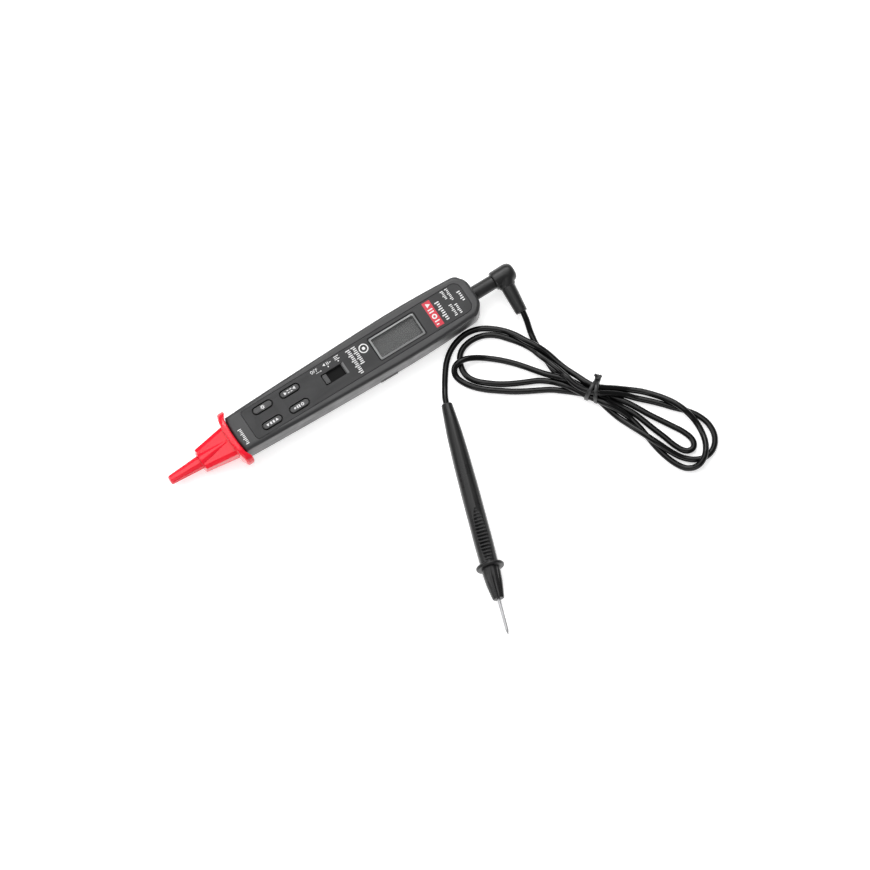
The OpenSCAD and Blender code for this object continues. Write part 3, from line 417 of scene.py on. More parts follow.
def cylinder(name, radius, depth, place, sides, stretch=1.0, rotation=(0, 0, 0)):
    put_down()
    bpy.ops.mesh.primitive_cylinder_add(
        vertices=sides, radius=radius * MM, depth=depth * MM, location=at(*place), rotation=rotation)
    piece = just_added(name)
    piece.scale.x = stretch
    settle(piece)
    return piece


def skin(name, rings):
    """A closed piece whose walls join each ring of points to the next."""
    mesh = bmesh.new()
    loops = [[mesh.verts.new(p) for p in ring] for ring in rings]
    count = len(loops[0])
    for lower, upper in zip(loops, loops[1:]):
        for k in range(count):
            n = (k + 1) % count
            mesh.faces.new((lower[k], lower[n], upper[n], upper[k]))
    mesh.faces.new(loops[0][::-1])
    mesh.faces.new(loops[-1])
    bmesh.ops.recalc_face_normals(mesh, faces=mesh.faces)
    piece = bpy.data.objects.new(name, bpy.data.meshes.new(name))
    mesh.to_mesh(piece.data)
    mesh.free()
    bpy.context.scene.collection.objects.link(piece)
    return piece


def second_material(piece, material, test):
    """Gives the faces of a finished piece that pass a test another material."""
    piece.data.materials.append(material)
    for face in piece.data.polygons:
        if test(face):
            face.material_index = 1


def join(name, pieces):
    pick_up(pieces[0], *pieces[1:])
    bpy.ops.object.join()
    return just_added(name)


def to_probe(piece):
    """Moves a piece that was modelled along +X from the origin onto the probe's own axis."""
    piece.matrix_world = (
        Matrix.Translation(at(*PROBE_START))
        @ Matrix.Rotation(math.radians(PROBE_HEADING), 4, "Z")
        @ Matrix.Rotation(math.radians(-PROBE_TILT), 4, "Y")
    )
    settle(piece)


# Effects that several materials share


def new_group(name, inputs, outputs):
    group = bpy.data.node_groups.new(name, "ShaderNodeTree")
    for kind, label, value in inputs:
        group.interface.new_socket(label, in_out="INPUT", socket_type=kind).default_value = value
    for kind, label in outputs:
        group.interface.new_socket(label, in_out="OUTPUT", socket_type=kind)
    return group, group.nodes.new("NodeGroupInput"), group.nodes.new("NodeGroupOutput")


def fill(tree, node, inputs):
    """Gives each input of a node its value, or a link if the value is a socket."""
    for key, value in inputs.items():
        if isinstance(value, bpy.types.NodeSocket):
            tree.links.new(value, node.inputs[key])
        else:
            node.inputs[key].default_value = value


def add(tree, kind, inputs=None, **options):
    """Adds a shader node with its inputs and its options set."""
    node = tree.nodes.new("ShaderNode" + kind)
    for name, value in options.items():
        setattr(node, name, value)
    fill(tree, node, inputs or {})
    return node


def math_node(tree, operation, *values):
    return add(tree, "Math", dict(enumerate(values)), operation=operation).outputs[0]


def noise(tree, scale, **values):
    """Noise in the piece's own space."""
    where = add(tree, "TexCoord").outputs["Object"]
    return add(tree, "TexNoise", {"Vector": where, "Scale": scale, **values}).outputs["Fac"]


def moulded_grain_group():
    """Fine spark-eroded grain: a colour and roughness that vary a little, and a height for the bump."""
    group, given, out = new_group(
        "Moulded grain",
        [("NodeSocketColor", "Colour", (0.1, 0.1, 0.1, 1)), ("NodeSocketFloat", "Spread", 0.08),
         ("NodeSocketFloat", "Grain", 3000.0), ("NodeSocketFloat", "Roughness", 0.5),
         ("NodeSocketFloat", "Roughness spread", 0.05)],
        [("NodeSocketColor", "Colour"), ("NodeSocketFloat", "Roughness"), ("NodeSocketFloat", "Height")])
    fine = noise(group, given.outputs["Grain"], Detail=3.0, Roughness=0.6)
    centred = math_node(group, "MULTIPLY_ADD", fine, 2.0, -1.0)
    swing = math_node(group, "MULTIPLY_ADD", centred, given.outputs["Spread"], 1.0)
    tint = add(group, "VectorMath", {0: given.outputs["Colour"], "Scale": swing}, operation="SCALE")
    rough = math_node(group, "MULTIPLY_ADD", centred, given.outputs["Roughness spread"], given.outputs["Roughness"])
    fill(group, out, {"Colour": tint.outputs[0], "Roughness": rough, "Height": fine})
    return group


def handled_group():
    """Where hands have polished a moulding: soft patches, for its roughness."""
    group, given, out = new_group(
        "Handled patches",
        [("NodeSocketFloat", "Patch", 60.0), ("NodeSocketFloat", "Amount", 0.3)],
        [("NodeSocketFloat", "Mask")])
    patch = noise(group, given.outputs["Patch"], Detail=2.0, Distortion=0.6)
    span = add(group, "MapRange", {
        "Value": patch, "From Min": 0.35, "From Max": 0.7, "To Max": given.outputs["Amount"]})
    fill(group, out, {"Mask": span.outputs[0]})
    return group


def edge_group():
    """Edges of a moulding: a mask for a painted highlight where the light catches, and for grain rubbed smooth."""
    group, given, out = new_group(
        "Rubbed edges and painted highlight",
        [("NodeSocketFloat", "Sharpness", 0.06), ("NodeSocketFloat", "Amount", 0.4)],
        [("NodeSocketFloat", "Mask")])
    shape = add(group, "NewGeometry")
    top = math_node(group, "ADD", given.outputs["Sharpness"], 0.5)
    span = add(group, "MapRange", {
        "Value": shape.outputs["Pointiness"], "From Min": 0.51, "From Max": top, "To Max": given.outputs["Amount"]})
    fill(group, out, {"Mask": span.outputs[0]})
    return group


def shared(name):
    makers = {"Moulded grain": moulded_grain_group, "Handled patches": handled_group, "Rubbed edges and painted highlight": edge_group}
    return bpy.data.node_groups.get(name) or makers[name]()


def use(material, name, **values):
    node = material.node_tree.nodes.new("ShaderNodeGroup")
    node.node_tree = shared(name)
    for label, value in values.items():
        node.inputs[label.replace("_", " ")].default_value = value
    return node


def blank_material(name):
    material = bpy.data.materials.new(name)
    material.use_nodes = True
    return material, material.node_tree.nodes["Principled BSDF"], material.node_tree


def moulded(name, colour, roughness=0.5, grain=3000.0, spread=0.08, bump=0.25, patches=0.12, edges=0.25,
            specular=0.5):
    """A moulded plastic or rubber."""
    if name in bpy.data.materials:
        return bpy.data.materials[name]
    material, shader, tree = blank_material(name)
    base = use(material, "Moulded grain", Colour=(*colour[:3], 1), Spread=spread, Grain=grain, Roughness=roughness,
               Roughness_spread=0.08)
    wear_and_sheen = use(material, "Handled patches", Patch=70.0, Amount=patches)
    rubbed_and_highlit = use(material, "Rubbed edges and painted highlight", Sharpness=0.05, Amount=edges)
    # Convex edges are lightened in colour: partly wear, partly a painted highlight
    lighter = add(tree, "Mix", {
        "Factor": rubbed_and_highlit.outputs["Mask"], 6: base.outputs["Colour"],
        7: (*[min(1.0, c * 1.6 + 0.01) for c in colour[:3]], 1)}, data_type="RGBA")
    polished = math_node(tree, "SUBTRACT", base.outputs["Roughness"], wear_and_sheen.outputs["Mask"])
    relief = add(tree, "Bump", {"Strength": bump, "Distance": 0.00002, "Height": base.outputs["Height"]})
    fill(tree, shader, {
        "Base Color": lighter.outputs[2], "Roughness": polished, "Normal": relief.outputs[0],
        "Specular IOR Level": specular})
    return material


def metal(name, colour, roughness=0.25):
    """A drawn or turned metal, with fine lines along its length."""
    if name in bpy.data.materials:
        return bpy.data.materials[name]
    material, shader, tree = blank_material(name)
    along = add(tree, "Mapping", {
        "Vector": add(tree, "TexCoord").outputs["Object"], "Scale": (300.0, 4000.0, 4000.0)})
    lines = add(tree, "TexNoise", {"Vector": along.outputs[0], "Scale": 1.0, "Detail": 4.0}).outputs["Fac"]
    tone = add(tree, "Mix", {
        "Factor": lines, 6: (*[c * 0.86 for c in colour], 1), 7: (*colour, 1)}, data_type="RGBA")
    rough = add(tree, "MapRange", {"Value": lines, "To Min": roughness * 0.7, "To Max": roughness * 1.4})
    relief = add(tree, "Bump", {"Strength": 0.15, "Distance": 0.00001, "Height": lines})
    fill(tree, shader, {
        "Base Color": tone.outputs[2], "Roughness": rough.outputs[0], "Normal": relief.outputs[0], "Metallic": 1.0})
    return material


def clear_window():
    """Clear moulded acrylic with a few hairline marks in its gloss."""
    material, shader, tree = blank_material("window clear")
    marks = use(material, "Handled patches", Patch=160.0, Amount=0.03)
    fill(tree, shader, {
        "Roughness": math_node(tree, "ADD", marks.outputs["Mask"], 0.14), "Base Color": (0.12, 0.122, 0.122, 1),
        "Alpha": 0.22, "IOR": 1.49})
    return material


# Materials by name


def case_plastic():
    return moulded("case plastic", settings()[1].shell_colour, roughness=0.42, grain=2600, spread=0.10, bump=0.25,
                   edges=0.30, specular=0.5)


def panel_plastic():
    return moulded("panel plastic", settings()[1].panel_colour, roughness=0.56, grain=3600, spread=0.12, bump=0.3,
                   edges=0.25, specular=0.32)


def key_plastic():
    return moulded("key plastic", (0.042, 0.042, 0.043), roughness=0.45, grain=3600, spread=0.08, bump=0.2, edges=0.35,
                   specular=0.45)


def red_plastic():
    return moulded("red plastic", settings()[1].red, roughness=0.19, grain=1800, spread=0.04, bump=0.1, edges=0.05,
                   patches=0.06, specular=0.5)


def plug_plastic():
    return moulded("plug rubber", settings()[2].plug_colour, roughness=0.42, grain=2400, spread=0.15, bump=0.3,
                   edges=0.30, specular=0.4)


def lead_jacket():
    return moulded("lead jacket", settings()[2].jacket_colour, roughness=0.15, grain=2200, spread=0.12, bump=0.05,
                   edges=0.0, patches=0.04, specular=0.26)


def tie_plastic():
    return moulded("tie plastic", (0.018, 0.018, 0.0185), roughness=0.36, grain=1500, spread=0.25, bump=0.5, edges=0.2)


def handle_plastic():
    return moulded("handle plastic", settings()[2].plug_colour, roughness=0.36, grain=2400, spread=0.12, bump=0.25,
                   edges=0.25, specular=0.3)


def knob_plastic():
    return moulded("knob plastic", (0.066, 0.066, 0.068), roughness=0.45, grain=3000, spread=0.08, bump=0.2, edges=0.3)


def print_white():
    return moulded("print white", settings()[1].print_white, roughness=0.55, grain=3600, spread=0.05, bump=0.1,
                   edges=0.0, patches=0.05)


def black_plastic():
    return moulded("inner black", (0.012, 0.012, 0.012), roughness=0.55, grain=3000, spread=0.1, bump=0.2, edges=0.1)


# Stage


class PENMETER_OT_stage(bpy.types.Operator):
    """Puts down the pale table, the soft light and the camera"""

    bl_idname = "pen_meter.stage"
    bl_label = "Stage"

    def execute(self, context):
        stage = settings()[0]
        put_down()
        bpy.ops.mesh.primitive_plane_add(size=14.0, location=(0.04, -0.05, 0.0))
        floor = just_added("table")
        edit(floor)
        bpy.ops.mesh.select_all(action="SELECT")
        bpy.ops.mesh.subdivide(number_cuts=3)
        bpy.ops.object.mode_set(mode="OBJECT")
        settle(floor)
        material, shader, tree = blank_material("table paper")
        grain = use(material, "Moulded grain", Colour=(*stage.floor_colour, 1), Spread=0.01, Grain=900.0,
                    Roughness=0.9, Roughness_spread=0.02)
        fill(tree, shader, {"Base Color": grain.outputs["Colour"], "Roughness": 0.9})
        # The camera and reflections see the table with a glow of its own, which lights nothing
        seen = add(tree, "LightPath").outputs
        glow = add(tree, "Emission", {"Strength": math_node(tree, "MULTIPLY_ADD", seen["Is Glossy Ray"], 0.35, 0.58)})
        lit = add(tree, "AddShader", {0: shader.outputs[0], 1: glow.outputs[0]})
        share = math_node(tree, "MAXIMUM", seen["Is Glossy Ray"], seen["Is Camera Ray"])
        pale = add(tree, "MixShader", {"Fac": share, 1: shader.outputs[0], 2: lit.outputs[0]})
        fill(tree, tree.nodes["Material Output"], {"Surface": pale.outputs[0]})
        floor.data.materials.append(material)

        world = bpy.data.worlds.new("studio")
        context.scene.world = world
        world.use_nodes = True
        tree = world.node_tree
        around = tree.nodes["Background"]
        fill(tree, around, {"Color": (1, 1, 1, 1), "Strength": stage.daylight})
        white = add(tree, "Background", {"Color": (1, 1, 1, 1), "Strength": 1.0})
        seen = add(tree, "LightPath").outputs
        view = math_node(tree, "MAXIMUM", seen["Is Camera Ray"], seen["Is Transmission Ray"])
        mix = add(tree, "MixShader", {"Fac": view, 1: around.outputs[0], 2: white.outputs[0]})
        fill(tree, tree.nodes["World Output"], {"Surface": mix.outputs[0]})

        middle = Vector((0.04, -0.05, 0.0))
        for name, (share, size, place) in LAMPS.items():
            put_down()
            bpy.ops.object.light_add(type="AREA", location=place)
            light = just_added(name)
            light.data.shape = "RECTANGLE"
            light.data.size, light.data.size_y = size
            light.data.energy = stage.softbox * share
            light.rotation_euler = (middle - Vector(place)).to_track_quat("-Z", "Y").to_euler()

        back = Vector((
            -math.sin(stage.turn) * math.cos(stage.height), -math.cos(stage.turn) * math.cos(stage.height),
            math.sin(stage.height)))
        put_down()
        bpy.ops.object.camera_add(location=Vector(stage.aim) + back * stage.distance)
        camera = bpy.context.object
        camera.name = "view"
        camera.rotation_euler = back.to_track_quat("Z", "Y").to_euler()
        camera.data.lens = stage.lens
        camera.data.sensor_width = 36.0
        camera.data.clip_start = 0.01
        context.scene.camera = camera
        context.scene.view_settings.view_transform = "Standard"
        return {"FINISHED"}


# Lead


def smooth_route(points, between):
    """Points on one smooth curve through the route's points, spaced by the distance between them."""
    p = [Vector(q) * MM for q in points]
    p = [2 * p[0] - p[1], *p, 2 * p[-1] - p[-2]]
    line = []
    for i in range(1, len(p) - 2):
        a, b, c, d = p[i - 1], p[i], p[i + 1], p[i + 2]
        t1 = math.sqrt((b - a).length)
        t2 = t1 + math.sqrt((c - b).length)
        t3 = t2 + math.sqrt((d - c).length)
        for k in range(between):
            t = t1 + (t2 - t1) * k / between
            ab = a.lerp(b, t / t1)
            bc = b.lerp(c, (t - t1) / (t2 - t1))
            cd = c.lerp(d, (t - t2) / (t3 - t2))
            abc = ab.lerp(bc, t / t2)
            bcd = bc.lerp(cd, (t - t1) / (t3 - t1))
            line.append(abc.lerp(bcd, (t - t1) / (t2 - t1)))
    line.append(p[-2])
    return line


class PENMETER_OT_lead(bpy.types.Operator):
    """Lays the test lead along its route, as one jacketed cord"""

    bl_idname = "pen_meter.lead"
    bl_label = "Lead"

    def execute(self, context):
        lead = settings()[2]
        line = smooth_route(LEAD_ROUTE, lead.between)
        low = lead.diameter / 2 + 0.00001
        curve = bpy.data.curves.new("lead", "CURVE")
        curve.dimensions = "3D"
        spline = curve.splines.new("POLY")
        spline.points.add(len(line) - 1)
        for point, place in zip(spline.points, line):
            point.co = (place.x, place.y, max(place.z, low), 1)
        spline.use_smooth = True
        curve.bevel_depth = lead.diameter / 2
        curve.bevel_resolution = 4
        curve.use_fill_caps = True
        cord = bpy.data.objects.new("lead", curve)
        context.scene.collection.objects.link(cord)
        curve.materials.append(lead_jacket())
        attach(cord, "lead")
        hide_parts("lead_run_plug", "lead_hank", "lead_run_probe")
        return {"FINISHED"}


def ribbon(name, line, side, width, thickness):
    """A flat strip with round edges along a line, its width along a given side."""
    profile = [(0.5, 0.18), (0.36, 0.5), (-0.36, 0.5), (-0.5, 0.18), (-0.5, -0.18), (-0.36, -0.5), (0.36, -0.5),
               (0.5, -0.18)]
    rings = []
    for i, place in enumerate(line):
        ahead = (line[min(i + 1, len(line) - 1)] - line[max(i - 1, 0)]).normalized()
        across = (side - ahead * side.dot(ahead)).normalized()
        up = ahead.cross(across)
        rings.append([place + across * (a * width * MM) + up * (b * thickness * MM) for a, b in profile])
    return skin(name, rings)


class PENMETER_OT_tie(bpy.types.Operator):
    """Winds the flat tie twice round the strands of the bundle and twists its ends into a knot"""

    bl_idname = "pen_meter.tie"
    bl_label = "Cord tie"

    def execute(self, context):
        centre = Vector((132.9, -87.4, 0))
        across = Vector((0.783, 0.622, 0))
        along = Vector((0.622, -0.783, 0))

        def place(u, v, z):
            return tuple(centre + across * u + along * v + Vector((0, 0, z)))

        # Each wrap starts and ends at the knot, and leans away from it towards the near side
        round_bundle = [
            (6.7, 0.0, 6.6), (5.2, 0.08, 9.3), (2.0, 0.3, 11.4), (-1.6, 0.55, 11.2), (-4.2, 0.8, 8.9),
            (-5.5, 1.0, 5.2), (-4.9, 0.95, 1.7), (-2.6, 0.7, 0.75), (2.0, 0.3, 0.75), (5.6, 0.08, 1.7),
            (7.2, 0.0, 4.4), (6.9, 0.0, 6.4),
        ]
        pieces = []
        for lean, start in ((-2.6, -0.9), (2.7, -0.3)):
            line = smooth_route([place(u, start + lean * share, z) for u, share, z in round_bundle], 6)
            pieces.append(ribbon("wrap", line, along, 2.3, 0.85))
        for turn, end in ((0.0, (9.0, -3.0, 9.6)), (math.pi, (9.6, 1.2, 9.0))):
            line = []
            for i in range(15):
                angle = turn + i * 0.55
                rise = i * 0.26
                line.append(place(
                    6.5 + rise * 0.45 + 0.95 * math.sin(angle), -0.6 + 0.95 * math.cos(angle), 5.6 + rise * 0.9))
            line.append(place(*[c * 0.55 + d * 0.45 for c, d in zip((8.2, -0.6, 9.0), end)]))
            line.append(place(*end))
            pieces.append(ribbon("twist", smooth_route(line, 3), along, 1.8, 1.5))
        wraps = join("cord_tie_wraps", pieces)
        smooth(wraps, 60, weighted=False)
        hand_over(wraps, "lead", "lead_black", tie_plastic(), "cord_tie")
        return {"FINISHED"}


# Meter


def case_half_width(x):
    """Half the case's width at a station, as the part's source has it."""
    if x < 52:
        return 14.6 - 2.9 * ((52 - x) / (52 - CASE_FRONT_X)) ** 1.5
    return 14.6 - 1.4 * (min(x - 52, 44.5) / 44.5) ** 2


class PENMETER_OT_case(bpy.types.Operator):
    """Finishes the two case halves, with the parting line and the panel's recess softened"""

    bl_idname = "pen_meter.case"
    bl_label = "Case halves"

    def execute(self, context):
        soft = settings()[1].edge_softness

        def parting(edge):
            if not (flat_at(edge, SPLIT_Z) and sharp(edge)):
                return False
            middle = (edge.verts[0].co + edge.verts[1].co) / 2
            centre = Vector((min(max(middle.x, -0.05), 0.094), 0, middle.z))
            side = [f.normal for f in edge.link_faces if abs(f.normal.z) < 0.5]
            return bool(side) and side[0].dot(middle - centre) > 0

        def top_outline(edge):
            middle = (edge.verts[0].co + edge.verts[1].co) / 2
            inlaid = abs(middle.y) < (PANEL_W / 2 + 0.3) * MM and PANEL_X0 - 0.5 < middle.x / MM < PANEL_X1 + 0.5
            return flat_at(edge, CASE_T) and sharp(edge) and not inlaid

        def lean_out(piece):
            """Sets the outer walls a little further out toward the face, as the real ones lean."""
            for v in piece.data.vertices:
                x, y, z = (c / MM for c in v.co)
                half = case_half_width(x)
                reach = abs(y) - (PANEL_W / 2 + 0.5) if z > CASE_T - 1.75 else (abs(y) - half + 1.5) * 2
                lean = LEAN_AT_NOSE + LEAN_GROWTH * held((x - 10) / 50)
                rise = max(0.0, (z - LEAN_FROM_Z) / (CASE_T - LEAN_FROM_Z))
                v.co.y += math.copysign(held(reach / 1.4) * (lean * rise) * MM, y)

        def on_rib(face):
            x, y, z = (c / MM for c in face.center)
            along = GRIP_X0 - 0.1 < x < GRIP_X0 + GRIP_RIBS * GRIP_PITCH
            return along and z < RIB_Z1 + 0.1 and abs(y) > case_half_width(x) + 0.08

        front = merged_copy("front_case", "front_shell")
        round_edges(front, top_outline, 1.0 * MM, 4)
        round_edges(front, lambda e: parting(e) or (flat_at(e, CASE_T) and sharp(e)), soft)
        lean_out(front)
        smooth(front, 38)
        hand_over(front, "meter", "case_grey", case_plastic(), "front_case")
        rear = merged_copy("rear_case", "rear_shell")
        ribs = []
        for k in range(GRIP_RIBS):
            x = GRIP_X0 + k * GRIP_PITCH
            half = case_half_width(x)
            for y0, y1 in ((-half - RIB_OUT, -half + RIB_IN), (half - RIB_IN, half + RIB_OUT)):
                ribs.append(box("rib", x, x + GRIP_PITCH * RIB_SHARE, y0, y1, RIB_Z0, RIB_Z1))
        cut(rear, join("grip_ribs", ribs), "UNION")
        round_edges(rear, parting, soft)
        lean_out(rear)
        smooth(rear, 38)
        hand_over(rear, "meter", "case_grey", case_plastic(), "rear_case")
        # The ribs' outer faces take the black inner plastic: a black grip strip that also paints the shade of the
        # grooves between the ribs
        second_material(rear, black_plastic(), on_rib)
        return {"FINISHED"}


def opening(x, y, length, width, corner, flare):
    """A cutter for a hole through the face panel, with a flared rim at its top."""
    tool = rounded_block("opening", x - length / 2, x + length / 2, y - width / 2, y + width / 2,
                         PANEL_TOP - 2, PANEL_TOP - flare, corner)
    over = flare + 0.3
    raise_top(tool, over, (length + 2 * over) / length, (width + 2 * over) / width, x, y)
    return tool


class PENMETER_OT_panel(bpy.types.Operator):
    """Shapes the inlaid face panel, with soft rims at its outline and openings"""

    bl_idname = "pen_meter.panel"
    bl_label = "Face panel"

    def execute(self, context):
        panel = box("face_inlay", PANEL_X0, PANEL_X1, -PANEL_W / 2, PANEL_W / 2, PANEL_TOP - 0.59, PANEL_TOP)
        for end, corner in ((-1, 2.4), (1, 4.6)):
            round_edges(panel, lambda e: upright(e) and e.verts[0].co.x * end > 0.045, corner * MM, 8)
        round_edges(panel, lambda e: flat_at(e, PANEL_TOP), 0.24 * MM)
        cut(panel, opening(WINDOW_X, 0, WINDOW_L, WINDOW_W, 1.2, 0.18))
        for x, y in KEYS.values():
            cut(panel, opening(x, y, HOLE_L, HOLE_W, HOLE_W / 2 - 0.01, 0.06))
        cut(panel, opening(SLOT_X, 0, SLOT_L, SLOT_W, 0.6, 0.2))
        slot_end = SLOT_X + SLOT_L / 2
        ramp = box("ramp", slot_end - 0.3, slot_end + 1.9, -3.8, 3.8, PANEL_TOP - 1, PANEL_TOP + 1)
        shift(ramp, lambda v: v.co.z < PANEL_TOP * MM and v.co.x > (slot_end + 1) * MM, 0, 0, 1.05)
        cut(panel, ramp)
        smooth(panel, 38)
        hand_over(panel, "meter", "panel_grey", panel_plastic(), "face_panel")
        # The ramp's slope is coloured far lighter than the panel: a painted sheen for the light it catches
        wear_and_sheen = moulded("worn ramp", (0.13, 0.13, 0.132), roughness=0.4, grain=3600, spread=0.12, bump=0.3)
        second_material(panel, wear_and_sheen, lambda f: (
            0.85 < f.normal.z < 0.95 and abs(f.center.x - (slot_end + 0.9) * MM) < 0.9 * MM))
        return {"FINISHED"}


class PENMETER_OT_display(bpy.types.Operator):
    """Shapes the raised window with its chamfered rim painted light grey as a highlight, and finishes the display under
    it
    """

    bl_idname = "pen_meter.display"
    bl_label = "Display"

    def execute(self, context):
        lens = rounded_block("window_lens", WINDOW_X - 16.6, WINDOW_X + 16.6, -8.6, 8.6, 16.05, CEILING_Z - 0.05, 1.0)
        # The lens goes up from its flange in steps, each with its height, its length and its width
        steps = [(CEILING_Z - 0.05, 33.2, 17.2), (CEILING_Z - 0.05, 29.6, 13.4), (18.3, 30.9, 15.0), (18.5, 30.9, 15.0),
                 (18.88, 28.7, 12.8)]
        for (za, la, wa), (zb, lb, wb) in zip(steps, steps[1:]):
            raise_top(lens, zb - za, lb / la, wb / wa, WINDOW_X, 0)
        round_edges(lens, lambda e: flat_at(e, 18.88) or flat_at(e, 18.5), 0.12 * MM)
        smooth(lens, 20)
        hand_over(lens, "meter", "window_clear", clear_window(), "display_window")
        # The chamfered rim is light grey and opaque: a painted highlight for the glint on the lens's polished edge
        rim = moulded("window rim", (0.24, 0.245, 0.245), roughness=0.3, grain=900, spread=0.05, bump=0.05, edges=0.0,
                      specular=0.6)
        second_material(lens, rim, lambda f: (
            18.45 * MM < f.center.z < 18.86 * MM and 0.3 < f.normal.z < 0.995))
        paint("lcd_glass", moulded("display glass", (0.075, 0.077, 0.076), roughness=0.35, grain=400, spread=0.03,
                                   bump=0.0, edges=0.0, patches=0.05))
        paint("lcd_holder", black_plastic())
        return {"FINISHED"}


def bar(x0, x1, y0, y1, z):
    return box("bar", x0, x1, y0, y1, z - 0.03, z + 0.02)


def mark(x, y, radius, sides, z, turn=0.0, stretch=1.0):
    """A small printed disc or, with few sides, a triangle or square."""
    piece = cylinder("mark", radius, 0.05, (x, y, z - 0.005), sides)
    edit(piece)
    bpy.ops.mesh.select_all(action="SELECT")
    pivot = at(x, y, z)
    if turn:
        bpy.ops.transform.rotate(value=math.radians(turn), orient_axis="Z", center_override=pivot)
    bpy.ops.transform.resize(value=(stretch, 1, 1), center_override=pivot)
    put_down()
    return piece


def ring_mark(x, y, outer, inner, z, stretch=1.0):
    piece = mark(x, y, outer, 28, z, 0.0, stretch)
    cut(piece, cylinder("hole", inner, 1, (x, y, z), 28, stretch * (1 - (1 - stretch) * 0.45)))
    return piece


def key_symbol(name, x, y, z):
    """The generic pictogram printed on each key."""
    if name == "key_1":
        rays = [mark(x + 1.05 * math.cos(a), y + 1.05 * math.sin(a), 0.26, 8, z)
                for a in (math.pi * k / 4 for k in range(8))]
        return [ring_mark(x, y, 0.8, 0.42, z), *rays]
    if name == "key_2":
        return [mark(x - 3.2, y - 0.15, 1.15, 3, z, 90), bar(x - 1.6, x - 0.3, y + 0.5, y + 0.95, z),
                bar(x - 1.6, x - 0.3, y - 0.9, y - 0.45, z), bar(x + 0.3, x + 1.6, y - 0.9, y - 0.45, z),
                bar(x + 0.3, x + 1.6, y + 0.5, y + 0.95, z), mark(x + 3.2, y + 0.15, 1.15, 3, z, -90)]
    if name == "key_3":
        return [mark(x - 3.1, y, 1.1, 3, z, 180), bar(x - 1.5, x - 0.4, y - 0.8, y + 0.8, z),
                bar(x + 0.4, x + 1.5, y - 0.8, y + 0.8, z), mark(x + 3.1, y, 1.1, 3, z)]
    return [bar(x - 1.7, x - 0.9, y - 0.9, y + 0.9, z), bar(x - 0.4, x + 0.4, y - 0.9, y + 0.9, z),
            ring_mark(x + 2.1, y, 0.95, 0.5, z), ring_mark(x - 3.0, y, 0.6, 0.2, z)]


class PENMETER_OT_keys(bpy.types.Operator):
    """Shapes one crowned key, copies it to the four places and prints a symbol on each"""

    bl_idname = "pen_meter.keys"
    bl_label = "Keys"

    def execute(self, context):
        x, y = KEYS["key_1"]
        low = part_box("key_1")[0][2] / MM
        top = CASE_T + 0.38
        crown = rounded_block("crown", x - 6.15, x + 6.15, y - 1.92, y + 1.92, CEILING_Z - 0.3, top, 1.91, 0.5, 10, 4)
        flange = rounded_block("flange", x - 7.35, x + 7.35, y - 3.15, y + 3.15, CEILING_Z - 0.9, CEILING_Z - 0.1,
                               3.14, 0.0, 10)
        stem = cylinder("stem", 1.5, CEILING_Z - 0.8 - low, (x, y, (CEILING_Z - 0.8 + low) / 2), 24)
        crown.data.materials.append(key_plastic())
        # The flange and stem take the black inner plastic, which paints shade into the gap round each key
        for gap_shade_part in (flange, stem):
            gap_shade_part.data.materials.append(black_plastic())
        first = join("key_1_cap", [crown, flange, stem])
        smooth(first, 38)
        caps = {"key_1": first}
        for name, (kx, ky) in list(KEYS.items())[1:]:
            cap = bpy.data.objects.new(name + "_cap", first.data.copy())
            cap.data.name = name + "_cap"
            context.scene.collection.objects.link(cap)
            cap.data.transform(Matrix.Translation(((kx - x) * MM, (ky - y) * MM, 0)))
            caps[name] = cap
        for name, cap in caps.items():
            symbol = key_symbol(name, *KEYS[name], top)
            for piece in symbol:
                piece.data.materials.append(print_white())
            caps[name] = join(name + "_cap", [cap, *symbol])
            hand_over(caps[name], name, "key_grey", None, name)
        return {"FINISHED"}


class PENMETER_OT_switch(bpy.types.Operator):
    """Shapes the ribbed range knob on its carrier, with the shutter that closes the slot"""

    bl_idname = "pen_meter.switch"
    bl_label = "Range switch"

    def execute(self, context):
        top = CASE_T + 0.15
        carrier = box("carrier", KNOB_X - 5.5, KNOB_X + 5.5, -4.5, 4.5, CEILING_Z - 1.0, CEILING_Z - 0.6)
        shutter = box("shutter", KNOB_X - 12.3, KNOB_X + 12.3, -4.05, 4.05, CEILING_Z - 0.6, CEILING_Z - 0.2)
        grip = rounded_block("grip", KNOB_X - 1.4, KNOB_X + 1.4, -2.95, 2.95, CEILING_Z - 0.3, top, 0.4, 0.2, 4, 2)
        for row in range(3):
            groove = box("groove", KNOB_X - 0.98 + 0.84 * row, KNOB_X - 0.70 + 0.84 * row, -4, 4, top - 0.3, top + 1)
            cut(grip, groove)
        for row in range(7):
            groove = box("groove", KNOB_X - 3, KNOB_X + 3, -2.46 + 0.8 * row, -2.32 + 0.8 * row, top - 0.2, top + 1)
            cut(grip, groove)
        grip.data.materials.append(knob_plastic())
        # Carrier and shutter are near black and barely glossy: dark plastic that also paints the shade inside the slot
        for slot_shade_part in (carrier, shutter):
            slot_shade_part.data.materials.append(moulded(
                "shutter black", (0.004, 0.004, 0.004), roughness=0.7, grain=3000, spread=0.1, bump=0.2, edges=0.0,
                specular=0.15))
        knob = join("range_knob_cap", [grip, carrier, shutter])
        smooth(knob, 38)
        hand_over(knob, "selector", "key_grey", None, "range_knob")
        return {"FINISHED"}


# Marks on the face, each from x0 to x1 and y0 to y1
OFF_STROKES = [
    (-0.95, -0.62, 6.85, 8.85), (-0.95, 0.15, 8.55, 8.85), (-0.95, 0.0, 7.7, 8.0),
    (0.6, 0.93, 6.85, 8.85), (0.6, 1.7, 8.55, 8.85), (0.6, 1.55, 7.7, 8.0),
]
SWITCH_MARKS = [
    (-0.2, 2.7, 5.75, 5.98),
    (8.0, 8.4, 6.9, 8.8), (8.9, 9.3, 6.9, 8.8), (9.8, 10.9, 7.6, 8.05),
    (13.4, 16.6, 8.7, 9.1), (13.4, 15.6, 7.75, 8.15), (13.4, 16.6, 6.8, 7.2),
]


